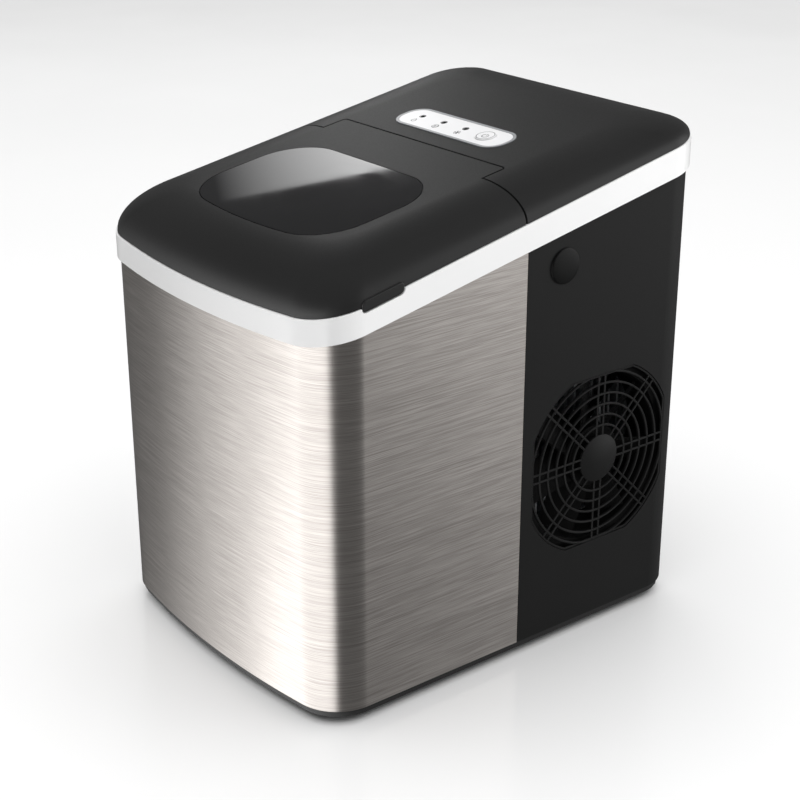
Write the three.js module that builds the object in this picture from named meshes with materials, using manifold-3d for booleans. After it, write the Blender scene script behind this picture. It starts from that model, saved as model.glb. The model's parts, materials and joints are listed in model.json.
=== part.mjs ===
// Countertop ice maker: a steel-fronted case with a domed, hinged lid, and the ice works inside it.
// Millimetres. +X is the machine's left-to-right as seen from its front, -Y is its front, +Z is up.
// The origin is on the table, under the middle of the case.
import * as THREE from "three";
import { mergeVertices } from "three/addons/utils/BufferGeometryUtils.js";
import Module from "manifold-3d";

const wasm = await Module();
wasm.setup();

// ---- Driving dimensions -------------------------------------------------------------------------

// Plan of the case
const width = 242;
const depth = 308;
const crownHeight = 308.7; // the top's height over the table at mid depth
const halfWidth = width / 2;
const halfDepth = depth / 2;
const frontBow = 11; // how far the front face bulges past its corners
const frontCornerRadius = 32;
const rearCornerRadius = 30;

// The top leans forward, so each level is a height at mid depth and a rise per mm towards the back.
const domeHeight = 19.4;
const bandHeight = 16.9;
const crown = { level: crownHeight, rise: 0.175 };
const bandTop = { level: crown.level - domeHeight, rise: 0.21 };
const bandBottom = { level: bandTop.level - bandHeight, rise: 0.2 };
const at = (surface, y) => surface.level + surface.rise * y;
const domeLip = 0.8; // upright strip between the band and the rounded edge
const shoulderWidth = 40; // how far in the rounded edge of the top reaches

// Walls
const bandWall = 5;
const caseInset = 2; // the case stands this far inside the band
const steelWall = 0.8;
const shellWall = 2.2;
const domeInset = 1;
const domeWall = 3;
const caseBottom = 10;
const caseRear = halfDepth - caseInset;
const shellInner = halfWidth - caseInset - shellWall; // inner face of the rear shell's side
const jointY = 4.5; // where the steel wrap meets the rear shell

// Fits
const gap = 0.3; // between pieces that touch
const seam = 1.3; // open line round the lid

// Lid
const lidRearY = 0.8;
const tongueRearY = 18.9;
const tongueHalfWidth = halfWidth - 41.5;
const hingeY = 8;
const hingeDrop = 4; // the hinge line lies this far under the crown
const hingePinRadius = 2;
const windowSize = {
  halfWidth: halfWidth - 47.7,
  front: -halfDepth + 36,
  rear: lidRearY - 20.8,
  radius: 34,
  bow: 3,
};
const windowThickness = 1.6;
const windowLedge = 4;
const gripLength = 29;
const gripTab = { front: -halfDepth + 36, rear: -halfDepth + 36 + gripLength, height: 6, radius: 2 };
const lug = { half: 4, drop: 4.2, width: 8 }; // the lid's two hinge eyes
const boss = { half: 4.4, drop: 4.5, width: 9 }; // the deck's two hinge eyes
const pinClearance = 1.2; // from a hinge pin's end to the far face of the eye that holds it

// Control panel
const panel = { y: tongueRearY + 28.1, width: 102.4, depth: 27.4, radius: 12, proud: 0.5, skirt: 8.2 };
const panelRim = 2;
const panelWall = 1.8;
const panelFace = 1; // how deep the face lies in its bezel
const ledCount = 3;
const ledY = 2.2;
const ledRadius = 1.6;
const firstLedX = -panel.width / 2 + 16.2;
const buttonX = panel.width / 2 - 21;
const buttonRadius = 6.8;
const buttonTravel = 0.7;
const boardThickness = 1.6;

// Side of the rear shell
const fanFrameSize = 120;
const fanRear = halfDepth - 22.7;
const fanBottom = 61.3;
const fanY = fanRear - fanFrameSize / 2;
const fanZ = fanBottom + fanFrameSize / 2;
const grilleRadius = fanFrameSize / 2 + 4;
const grilleHalf = fanFrameSize / 2 - 2;
const grilleHub = 15.9;
const grilleBar = 1.3;
const firstRing = 22.5;
const ringCount = 6;
const ringPitch = (grilleHalf + 0.25 - firstRing) / (ringCount - 1);
const spokeSpread = 5.4;
const spokeCount = 8;
const port = { y: jointY + 29.5, drop: 21.2, radius: 11.3, stem: 9 };
const louvre = { count: 9, pitch: 9, height: 4, length: 80, z: 70 };

// Rear of the rear shell
const inlet = { x: 60, z: 40, width: 27, height: 20, depth: 22, wall: 3, back: 5 };
const inletPin = { halfWidth: 0.8, halfHeight: 1.8, length: 12, spread: 6.5, lift: 3 };
const ratingPlate = { width: 60, height: 40, radius: 3, thickness: 0.5, z: 130 };
const rearScrew = { x: halfWidth - 46, lower: 22, drop: 17.8 };

// Base and feet
const footHeight = 5;
const footRadius = 11;
const foot = { x: halfWidth - 33, front: -halfDepth + 39, rear: halfDepth - 36, edge: 1 };
const plinthInset = 1.5; // the plinth stands this far inside the case
const panFloor = 3;
const panWallTop = 22;
const panTop = footHeight + gap + panFloor; // upper face of the base pan's floor

// Inner tub
const tubWall = 2.5;
const tubSide = 21; // from the side of the band to the tub
const tubFront = 16; // from the front of the band to the tub
const tubHalfWidth = halfWidth - tubSide;
const tubFrontY = -halfDepth + tubFront;
const tubFloor = 33;
const tubRadius = 18;
const bayRear = 44; // back of the bay where the tray swings
const bayHalfWidth = 80;
const bayRadius = 12;
const rimDepth = 14; // from the back of the bay to the back of the rim
const railDepth = 14;
const railHeight = 7;
const drain = { x: -60, y: tubFrontY + 38, radius: 9, bore: 6.5, bottom: 12, capRadius: 13, plug: 14 };

// Ice works
const trayPivot = { y: 12, z: bandBottom.level - 36.4 };
const tubRear = trayPivot.y - 4;
const bayFloor = trayPivot.z - 64;
const basketWall = 2;
const basketHalfWidth = tubHalfWidth - 10;
const basketHeight = 108;
const basketRim = trayPivot.z - 8;
const basket = {
  front: tubFrontY + 6,
  rear: -50,
  bottom: basketRim - basketHeight,
  rim: basketRim,
  rearRim: basketRim - 23,
  radius: 14,
  lipEnd: 16, // from a side to the dip in the rear wall
};
const basketSlot = { count: 7, halfWidth: 2.5, halfLength: 7, pitch: 20, rise: 30, height: 18, margin: 15 };
const railTop = basket.bottom - gap;
const tray = {
  halfLength: 66,
  front: -40,
  rear: trayPivot.y - 7,
  bottom: trayPivot.z - 21,
  rim: trayPivot.z + 4,
  wall: 2,
};
const trayShaftRadius = 3;
const trayEar = trayShaftRadius + 2.5;
const pusherPivot = { y: -46, z: trayPivot.z + 20 };
const pusherShaftRadius = 2;
const pusher = { halfLength: 60, reach: 40, thickness: 2, hub: 2.2, notch: 6, bridge: 12 };
const fingerPitch = 24;
const fingerRadius = 5;
const fingerBottom = trayPivot.z - 14;
const fingerRows = [
  { y: -26, count: 5 },
  { y: -8, count: 4 },
];
const plate = { halfLength: 62, front: -38, rear: 4, bottom: trayPivot.z + 20, top: trayPivot.z + 26 };
const plateEar = { front: -22, rear: -12, inset: 1 };
const sensor = { y: -72, half: 6, height: 16, thickness: 4, lens: 2.5 };
const gearmotor = { thickness: 14, length: 39, below: 20, above: 18, canRadius: 13, canDepth: 8, canY: 24 };

// Water pump
const pump = { x: 25, y: 31, half: 19, height: 24, motorRadius: 16, motorTop: 58, spout: 4, spoutTop: 66 };

// Cooling works
const compressorRadius = 46;
const compressor = {
  x: -50,
  y: halfDepth - compressorRadius - 24,
  radius: compressorRadius,
  bottom: 16.3,
  top: bayFloor - 22,
};
const leg = { reach: 8, width: 18, thickness: 3, inset: 4, count: 3 };
const fanFrameDepth = 25;
const fanOuterX = shellInner - 3.3;
const fanInnerX = fanOuterX - fanFrameDepth;
const fanBore = fanFrameSize / 2 - 3;
const fanMotorRadius = 20;
const fanHubRadius = 21;
const fanStrut = { depth: 3, width: 5 };
const fanFlange = { thickness: 4, cut: 1.6, half: 30 };
const rotorRadius = fanBore - 3;
const blade = { count: 7, thickness: 1.8, chord: 24, pitch: (38 * Math.PI) / 180 };
const condenser = { thickness: 28, finCount: 14, fin: 2, margin: 3, header: 12 };
const pipeRadius = 3;
const suctionX = -50;
const capillaryX = -34;
const capillaryRadius = 1.2;
const drier = { radius: 9, length: 62, neck: 3.4, bottom: 60 };
const valve = { radius: 4, height: 48, bottom: 130 };
const valveCoil = { halfX: 11, halfY: 10, bottom: 12, top: 38 };
const powerBoard = { left: -95, right: -15, height: 66, bottom: bayFloor + 10, y: halfDepth - 26 };

// ---- Derived places ---------------------------------------------------------------------------------

const hingeZ = at(crown, hingeY) - hingeDrop;
const portZ = at(bandBottom, port.y) - port.drop;
const condenserX = fanInnerX - 2 - condenser.thickness;
const condenserTop = bayFloor - tubWall - 4;
const drierX = condenserX - 26;
const drierY = fanRear - 26;
const panelTilt = Math.atan(crown.rise);
const aboveAll = 2 * crown.level; // a height over everything
const over = 1; // how far a cutter reaches past what it cuts

// ---- Finishes -------------------------------------------------------------------------------------

const finishes = {
  steel: { color: 0xa39d96, roughness: 0.35, metalness: 1 },
  blackPlastic: { color: 0x262626, roughness: 0.5, metalness: 0 },
  charcoalPlastic: { color: 0x333333, roughness: 0.45, metalness: 0 },
  whitePlastic: { color: 0xf2f2f0, roughness: 0.3, metalness: 0 },
  greyPlastic: { color: 0xc9ccce, roughness: 0.4, metalness: 0 },
  smokedPlastic: { color: 0x111113, roughness: 0.08, metalness: 0 },
  rubber: { color: 0x1b1b1b, roughness: 0.8, metalness: 0 },
  copper: { color: 0xb06a3c, roughness: 0.35, metalness: 1 },
  nickel: { color: 0xc8c6c0, roughness: 0.25, metalness: 1 },
  aluminium: { color: 0xb9bcbe, roughness: 0.45, metalness: 1 },
  paintedSteel: { color: 0x1d1d1f, roughness: 0.4, metalness: 0.2 },
  board: { color: 0x2c6b3d, roughness: 0.6, metalness: 0 },
};

// ---- Shape helpers --------------------------------------------------------------------------------

// A closed geometry as a manifold-3d solid.
function solid(geometry) {
  const bare = geometry.index ? geometry.toNonIndexed() : geometry.clone();
  bare.deleteAttribute("normal");
  bare.deleteAttribute("uv");
  const merged = mergeVertices(bare, 1e-4);
  return new wasm.Manifold(
    new wasm.Mesh({
      numProp: 3,
      vertProperties: new Float32Array(merged.attributes.position.array),
      triVerts: new Uint32Array(merged.index.array),
    }),
  );
}

// A manifold-3d solid as a three.js geometry.
function geometryOf(body) {
  const mesh = body.getMesh();
  const geometry = new THREE.BufferGeometry();
  geometry.setAttribute("position", new THREE.BufferAttribute(mesh.vertProperties, 3));
  geometry.setIndex(new THREE.BufferAttribute(mesh.triVerts, 1));
  const flat = geometry.toNonIndexed();
  flat.computeVertexNormals();
  return flat;
}

// A solid joined from several others.
const join = (first, ...others) => others.reduce((sum, other) => sum.add(other), first);

// A solid without the crumbs, smaller than a cubic millimetre, that cuts leave behind.
const withoutCrumbs = (body) => join(...body.decompose().filter((part) => part.volume() > 1));

// A block between two corners.
function block(x0, x1, y0, y1, z0, z1) {
  const geometry = new THREE.BoxGeometry(x1 - x0, y1 - y0, z1 - z0);
  return solid(geometry.translate((x0 + x1) / 2, (y0 + y1) / 2, (z0 + z1) / 2));
}

// A round bar along X, Y or Z that starts at the point given.
function bar(axis, radius, length, x, y, z, sides = 20) {
  const geometry = new THREE.CylinderGeometry(radius, radius, length, sides);
  if (axis === "x") geometry.rotateZ(-Math.PI / 2).translate(length / 2, 0, 0);
  if (axis === "y") geometry.translate(0, length / 2, 0);
  if (axis === "z") geometry.rotateX(Math.PI / 2).translate(0, 0, length / 2);
  return solid(geometry.translate(x, y, z));
}

// A body turned about +Z from a profile of [radius, height] points that starts and ends on the axis.
function turned(profile, sides = 20) {
  const points = profile.map(([radius, height]) => new THREE.Vector2(radius, height));
  return new THREE.LatheGeometry(points, sides).rotateX(Math.PI / 2);
}

// A rectangle with round corners.
function roundedRectangle(x0, x1, y0, y1, radius) {
  const shape = new THREE.Shape();
  shape.absarc(x1 - radius, y1 - radius, radius, 0, Math.PI / 2);
  shape.absarc(x0 + radius, y1 - radius, radius, Math.PI / 2, Math.PI);
  shape.absarc(x0 + radius, y0 + radius, radius, Math.PI, 1.5 * Math.PI);
  shape.absarc(x1 - radius, y0 + radius, radius, 1.5 * Math.PI, 2 * Math.PI);
  return shape;
}

// The case outline from above, moved in by inset: round rear corners, bowed front, round front corners.
function caseOutline(inset) {
  const halfX = halfWidth - inset;
  const halfY = halfDepth - inset;
  const rearR = rearCornerRadius - inset;
  const frontR = frontCornerRadius - inset;
  const bowRadius = (halfX ** 2 + frontBow ** 2) / (2 * frontBow);
  const bowY = bowRadius - halfY;
  const cornerX = halfX - frontR;
  const cornerY = bowY - Math.sqrt((bowRadius - frontR) ** 2 - cornerX ** 2);
  const swing = Math.atan2(cornerY - bowY, cornerX);
  const shape = new THREE.Shape();
  shape.absarc(0, bowY, bowRadius, -Math.PI - swing, swing);
  shape.absarc(cornerX, cornerY, frontR, swing, 0);
  shape.absarc(halfX - rearR, halfY - rearR, rearR, 0, Math.PI / 2);
  shape.absarc(rearR - halfX, halfY - rearR, rearR, Math.PI / 2, Math.PI);
  shape.absarc(-cornerX, cornerY, frontR, Math.PI, Math.PI - swing);
  return shape;
}

// An outline raised between two levels, each a height or a leaning surface.
function raised(shape, bottom, top, curveSegments = 3) {
  const geometry = new THREE.ExtrudeGeometry(shape, { depth: 1, bevelEnabled: false, curveSegments });
  const level = (surface, y) => (typeof surface === "number" ? surface : at(surface, y));
  const position = geometry.attributes.position;
  for (let i = 0; i < position.count; i += 1) {
    const surface = position.getZ(i) > 0.5 ? top : bottom;
    position.setZ(i, level(surface, position.getY(i)));
  }
  return solid(geometry);
}

// A leaning surface moved up or down.
const shifted = (surface, lift) => ({ level: surface.level + lift, rise: surface.rise });

// Everything under the domed top's surface, lowered by lower, down to a floor above the band's top.
// A short upright lip comes first, then a quarter ellipse up to the crown.
function dome(lower, floorLift) {
  const steps = 5;
  const geometry = new THREE.ExtrudeGeometry(caseOutline(domeInset), {
    depth: steps + 1,
    steps: steps + 1,
    bevelEnabled: false,
    curveSegments: 3,
  });
  const position = geometry.attributes.position;
  for (let i = 0; i < position.count; i += 1) {
    const layer = Math.round(position.getZ(i));
    const turn = (Math.max(layer - 1, 0) / steps) * (Math.PI / 2);
    const inward = lower + shoulderWidth * (1 - Math.cos(turn));
    const x = position.getX(i) * (1 - inward / (halfWidth - domeInset));
    const y = position.getY(i) * (1 - inward / (halfDepth - domeInset));
    const start = at(bandTop, y) + domeLip;
    const curved = start + (at(crown, y) - lower - start) * Math.sin(turn);
    position.setXYZ(i, x, y, layer === 0 ? at(bandTop, y) + floorLift : curved);
  }
  return solid(geometry);
}

// The lid's outline from above: all of the front and a tongue at the back, grown by grow.
function lidOutline(grow) {
  const far = width;
  const tongue = tongueHalfWidth + grow;
  return new THREE.Shape(
    [
      [-far, -depth],
      [far, -depth],
      [far, lidRearY + grow],
      [tongue, lidRearY + grow],
      [tongue, tongueRearY + grow],
      [-tongue, tongueRearY + grow],
      [-tongue, lidRearY + grow],
      [-far, lidRearY + grow],
    ].map(([x, y]) => new THREE.Vector2(x, y)),
  );
}

// The window's outline: round corners and a slightly bowed front edge, moved in by inset.
function windowOutline(inset) {
  const { halfWidth: half, front, rear, radius, bow } = windowSize;
  const x = half - inset;
  const r = radius - inset;
  const shape = new THREE.Shape();
  shape.absarc(x - r, rear - radius, r, 0, Math.PI / 2);
  shape.absarc(r - x, rear - radius, r, Math.PI / 2, Math.PI);
  shape.absarc(r - x, front + radius + bow, r, Math.PI, 1.5 * Math.PI);
  shape.quadraticCurveTo(0, front + inset - bow, x - r, front + inset + bow);
  shape.absarc(x - r, front + radius + bow, r, 1.5 * Math.PI, 2 * Math.PI);
  return shape;
}

// A round tube along points.
function tube(points, radius, steps, curveSegments = 4) {
  const path = new THREE.CatmullRomCurve3(points.map((point) => new THREE.Vector3(...point)));
  const section = new THREE.Shape();
  section.absarc(0, 0, radius, 0, 2 * Math.PI);
  return new THREE.ExtrudeGeometry(section, { extrudePath: path, steps, curveSegments });
}

const iceMaker = new THREE.Group();

// Adds a named piece to a group and returns it, so that it can be placed.
function piece(name, shape, finish, parent = iceMaker) {
  const geometry = shape.isBufferGeometry ? shape : geometryOf(shape);
  const mesh = new THREE.Mesh(geometry, new THREE.MeshStandardMaterial(finishes[finish]));
  mesh.name = name;
  parent.add(mesh);
  return mesh;
}

// ---- Base -----------------------------------------------------------------------------------------

function addBase() {
  const bottom = footHeight + gap;
  const wallInset = caseInset + shellWall + gap;
  const flange = raised(caseOutline(caseInset + plinthInset), bottom, caseBottom - gap);
  const wall = raised(caseOutline(wallInset), bottom, panWallTop);
  const hollow = raised(caseOutline(wallInset + tubWall), panTop, panWallTop + over);
  const drainHole = bar("z", drain.capRadius + over, panFloor + 2 * over, drain.x, drain.y, bottom - over);
  piece("base_pan", join(flange, wall).subtract(hollow).subtract(drainHole), "blackPlastic");

  const profile = [
    [0, 0],
    [footRadius - foot.edge, 0],
    [footRadius, foot.edge],
    [footRadius, footHeight],
    [0, footHeight],
  ];
  for (const [row, y] of [["front", foot.front], ["rear", foot.rear]]) {
    for (const [side, x] of [["left", -foot.x], ["right", foot.x]]) {
      piece(`foot_${row}_${side}`, turned(profile, 16), "rubber").position.set(x, y, 0);
    }
  }
}

// ---- Case -----------------------------------------------------------------------------------------

// The case wall between two insets, on one side of the joint between steel and plastic.
function caseWall(wall, y0, y1) {
  const top = shifted(bandBottom, -gap);
  const outer = raised(caseOutline(caseInset), caseBottom, top, 4);
  const inner = raised(caseOutline(caseInset + wall), caseBottom - over, shifted(top, over), 4);
  return outer.subtract(inner).intersect(block(-width, width, y0, y1, 0, aboveAll));
}

// The grille's opening seen from the side: a circle with its four sides cut flat.
function grilleOpening(shrink, x0, x1) {
  const round = bar("x", grilleRadius - shrink, x1 - x0, x0, fanY, fanZ, 32);
  const half = grilleHalf - shrink;
  return round.intersect(block(x0, x1, fanY - half, fanY + half, fanZ - half, fanZ + half));
}

const shellSlack = 20; // how far the rear shell's cutters reach past its walls

function addRearShell() {
  const outerX = halfWidth - caseInset;
  let shell = caseWall(shellWall, jointY + gap / 2, halfDepth);
  shell = shell.subtract(grilleOpening(0, shellInner - shellSlack, outerX + shellSlack));
  shell = shell.subtract(bar("x", port.stem + gap, shellSlack, shellInner - over, port.y, portZ));
  for (let i = 0; i < louvre.count; i += 1) {
    const z = louvre.z + i * louvre.pitch;
    const y0 = fanY - louvre.length / 2;
    const slot = block(-outerX - over, -shellInner + over, y0, y0 + louvre.length, z, z + louvre.height);
    shell = shell.subtract(slot);
  }
  const inletLeft = inlet.x - inlet.width / 2 - gap;
  const inletRight = inlet.x + inlet.width / 2 + gap;
  const inletTop = inlet.z + inlet.height + gap;
  shell = shell.subtract(
    block(inletLeft, inletRight, caseRear - shellSlack, halfDepth, inlet.z - gap, inletTop),
  );
  piece("rear_shell", shell, "blackPlastic");
}

// Rings, paired spokes and a hub, held in a thin border that follows the opening.
function addGrille() {
  const outerX = halfWidth - caseInset - gap;
  const innerX = shellInner;
  const thick = outerX - innerX;
  const ring = (outer, wall) =>
    bar("x", outer, thick, innerX, fanY, fanZ, 24).subtract(
      bar("x", outer - wall, thick + 2 * over, innerX - over, fanY, fanZ, 24),
    );
  let grille = grilleOpening(gap, innerX, outerX).subtract(
    grilleOpening(gap + grilleBar, innerX - over, outerX + over),
  );
  for (let i = 0; i < ringCount; i += 1) {
    grille = grille.add(ring(firstRing + i * ringPitch + grilleBar / 2, grilleBar));
  }
  for (let i = 0; i < spokeCount / 2; i += 1) {
    for (const side of [-1, 1]) {
      const offset = (side * spokeSpread) / 2;
      const spoke = new THREE.BoxGeometry(thick, grilleBar, 2 * grilleRadius)
        .translate(innerX + thick / 2, offset, 0)
        .rotateX((i * 2 * Math.PI) / spokeCount)
        .translate(0, fanY, fanZ);
      grille = grille.add(solid(spoke));
    }
  }
  grille = grille.add(bar("x", grilleHub, thick, innerX, fanY, fanZ, 24));
  piece("fan_grille", grille.intersect(grilleOpening(gap, innerX, outerX)), "blackPlastic");
}

function addCaseTrim() {
  const wrapRear = jointY - gap / 2;
  piece("front_wrap", caseWall(steelWall, -halfDepth, wrapRear), "steel");

  const band = raised(caseOutline(0), bandBottom, bandTop, 4);
  const inside = raised(caseOutline(bandWall), shifted(bandBottom, -over), shifted(bandTop, over), 4);
  const notchInner = halfWidth - bandWall - over;
  const notch = block(notchInner, width, gripTab.front - seam, gripTab.rear + seam, 0, aboveAll);
  const notchBottom = shifted(bandTop, -gripTab.height / 2);
  const notchFloor = raised(caseOutline(-over), notchBottom, shifted(bandTop, over));
  piece("trim_band", band.subtract(inside).subtract(notch.intersect(notchFloor)), "whitePlastic");
}

// A low domed cap on a stem, pushed into the side of the rear shell.
function addPortCap() {
  const capProfile = [
    [0, -shellWall - over],
    [port.stem, -shellWall - over],
    [port.stem, gap],
    [port.radius, gap],
    [port.radius, 0.9],
    [port.radius - 1.2, 1.3],
    [0, 1.6],
  ];
  const cap = piece("side_port_cap", turned(capProfile), "blackPlastic");
  cap.rotation.y = Math.PI / 2;
  cap.position.set(halfWidth - caseInset, port.y, portZ);
}

// Mains inlet: an open box set into the rear wall, with three flat pins.
function addInlet() {
  const left = inlet.x - inlet.width / 2;
  const right = inlet.x + inlet.width / 2;
  const top = inlet.z + inlet.height;
  const front = caseRear - inlet.depth;
  const { wall, back } = inlet;
  let socket = block(left, right, front, caseRear, inlet.z, top).subtract(
    block(left + wall, right - wall, front + back, caseRear + over, inlet.z + wall, top - wall),
  );
  const middle = (inlet.z + top - inletPin.lift) / 2;
  for (const [x, lift] of [[-inletPin.spread, 0], [0, inletPin.lift], [inletPin.spread, 0]]) {
    const z = middle + lift;
    const pin = block(
      inlet.x + x - inletPin.halfWidth, inlet.x + x + inletPin.halfWidth,
      front + back - over, front + back - over + inletPin.length,
      z - inletPin.halfHeight, z + inletPin.halfHeight,
    );
    socket = socket.add(pin);
  }
  piece("mains_inlet", socket, "blackPlastic");
}

// Rating plate and the four screws that hold the rear shell.
function addRearFittings() {
  const halfX = ratingPlate.width / 2;
  const halfZ = ratingPlate.height / 2;
  const outline = roundedRectangle(-halfX, halfX, -halfZ, halfZ, ratingPlate.radius);
  const label = piece("rating_plate", raised(outline, 0, ratingPlate.thickness, 2), "aluminium");
  label.rotation.x = -Math.PI / 2;
  label.position.set(0, caseRear + gap, ratingPlate.z);

  const screwProfile = [
    [0, 0],
    [3.4, 0],
    [3, 1],
    [1.6, 1.5],
    [0, 1.5],
  ];
  const upper = at(bandBottom, caseRear) - rearScrew.drop;
  for (const [row, z] of [["lower", rearScrew.lower], ["upper", upper]]) {
    for (const [side, x] of [["left", -rearScrew.x], ["right", rearScrew.x]]) {
      const screw = piece(`rear_screw_${row}_${side}`, turned(screwProfile, 10), "nickel");
      screw.rotation.x = -Math.PI / 2;
      screw.position.set(x, caseRear + gap, z);
    }
  }
}

// ---- Top: lid, deck and hinge -----------------------------------------------------------------------

const lidSlack = 60; // how far the top's cutters reach past it

function addLid() {
  const outer = dome(0, 0.5);
  const shell = outer.subtract(dome(domeWall, -lidSlack));
  const above = (inset) => raised(windowOutline(inset), crown.level - lidSlack, crown.level + lidSlack, 4);
  const skin = outer.subtract(dome(windowThickness, -lidSlack));
  const seat = above(0).subtract(dome(windowThickness + gap, -lidSlack));
  const lidBody = raised(lidOutline(0), 0, aboveAll);
  let lid = shell.intersect(lidBody).subtract(seat).subtract(above(windowLedge));

  const tabTop = shifted(bandTop, gripTab.height * 0.7);
  const tabBottom = shifted(bandTop, 0.6 - gripTab.height / 2);
  const tabInner = halfWidth - bandWall - over + seam;
  const tabOuter = halfWidth - 0.2;
  const tab = roundedRectangle(tabInner, tabOuter, gripTab.front, gripTab.rear, gripTab.radius);
  lid = lid.add(raised(tab, tabBottom, tabTop, 2));

  for (const side of [-1, 1]) {
    const x0 = side > 0 ? tongueHalfWidth - lug.width : -tongueHalfWidth;
    const x1 = x0 + lug.width;
    const ear = block(x0, x1, hingeY - lug.half, hingeY + lug.half, hingeZ - lug.drop, aboveAll);
    lid = lid.add(ear.intersect(dome(0.5, -lidSlack)));
    lid = lid.subtract(bar("x", hingePinRadius + gap, lug.width + 2 * over, x0 - over, hingeY, hingeZ));
  }
  piece("lid_shell", withoutCrumbs(lid), "charcoalPlastic");
  piece("lid_window", skin.intersect(above(gap)), "smokedPlastic");
}

function panelHole(grow, bottom, top, curveSegments = 4) {
  const halfX = panel.width / 2 + grow;
  const halfY = panel.depth / 2 + grow;
  const outline = roundedRectangle(-halfX, halfX, -halfY, halfY, panel.radius + grow);
  return raised(outline, bottom, top, curveSegments);
}

function addDeck() {
  let deck = dome(0, gap).subtract(dome(domeWall, -lidSlack));
  deck = deck.subtract(raised(lidOutline(seam), 0, aboveAll));
  const hole = geometryOf(panelHole(gap, -domeWall * 3, domeWall * 3));
  hole.rotateX(panelTilt).translate(0, panel.y, at(crown, panel.y));
  deck = deck.subtract(solid(hole));
  const pinReach = lug.width + seam + 0.3; // from the deck's eye into the lid's
  const pinSpan = pinReach + boss.width - pinClearance - 0.6;
  for (const side of [-1, 1]) {
    const inner = tongueHalfWidth + seam;
    const x0 = side > 0 ? inner : -inner - boss.width;
    const body = block(
      x0, x0 + boss.width, hingeY - boss.half, hingeY + boss.half, hingeZ - boss.drop, aboveAll,
    );
    deck = deck.add(body.intersect(dome(0.5, -lidSlack)));
    const pinStart = side > 0 ? inner - pinReach : -inner + pinReach - pinSpan;
    const bore = bar("x", hingePinRadius + gap, pinSpan + 2 * gap, pinStart - gap, hingeY, hingeZ);
    deck = deck.subtract(bore);
    const pin = piece(
      side > 0 ? "hinge_pin_right" : "hinge_pin_left",
      bar("x", hingePinRadius, pinSpan, 0, 0, 0),
      "nickel",
    );
    pin.position.set(pinStart, hingeY, hingeZ);
  }
  piece("rear_deck", deck, "charcoalPlastic");
}

// ---- Control panel ----------------------------------------------------------------------------------

function addPanel() {
  const group = new THREE.Group();
  group.position.set(0, panel.y, at(crown, panel.y));
  group.rotation.x = panelTilt;
  iceMaker.add(group);

  const boardTop = -panel.skirt + panelWall;
  const ledPitch = (buttonX - firstLedX) / ledCount;
  const ledX = Array.from({ length: ledCount }, (_, i) => firstLedX + i * ledPitch);
  const webBottom = -3.2; // underside of the bezel's web
  const below = -panel.skirt - over;
  const through = panel.skirt + panel.proud + 2 * over;
  const openings = [
    ...ledX.map((x) => bar("z", ledRadius + gap, through, x, ledY, below, 12)),
    bar("z", buttonRadius + gap, through, buttonX, 0, below, 20),
  ];
  const pierced = (body) => openings.reduce((sum, opening) => sum.subtract(opening), body);

  const tray = panelHole(0, -panel.skirt, panel.proud)
    .subtract(panelHole(-panelRim, -panelFace, panel.proud + over))
    .subtract(panelHole(-panelWall, below, webBottom));
  const overlay = panelHole(-panelRim - gap, gap - panelFace, panel.proud - 0.1);
  piece("panel_bezel", pierced(tray), "greyPlastic", group);
  piece("panel_overlay", pierced(overlay), "whitePlastic", group);

  const buttonBottom = boardTop + 1.4;
  const buttonSkirt = webBottom + 0.6;
  const plunger = 2;
  const buttonProfile = [
    [0, buttonBottom],
    [plunger, buttonBottom],
    [plunger, buttonSkirt],
    [buttonRadius, buttonSkirt],
    [buttonRadius, panel.proud + 0.3],
    [buttonRadius - 0.6, panel.proud + 0.7],
    [0, panel.proud + 0.7],
  ];
  const button = piece("power_button", turned(buttonProfile), "whitePlastic", group);
  button.position.set(buttonX, 0, 0);

  const lensProfile = [
    [0, boardTop + gap],
    [ledRadius, boardTop + gap],
    [ledRadius, panel.proud],
    [ledRadius * 0.6, panel.proud + 0.4],
    [0, panel.proud + 0.5],
  ];
  ledX.forEach((x, i) => {
    const lens = piece(`status_led_${i + 1}`, turned(lensProfile, 12), "smokedPlastic", group);
    lens.position.set(x, ledY, 0);
  });

  const board = panelHole(-panelWall - gap, boardTop - boardThickness, boardTop, 3);
  const half = 3;
  const keyTop = buttonBottom - buttonTravel - 0.2;
  const keySwitch = block(buttonX - half, buttonX + half, -half, half, boardTop - boardThickness / 2, keyTop);
  piece("display_board", board.add(keySwitch), "board", group);
}

// ---- Inner tub ---------------------------------------------------------------------------------------

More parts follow.
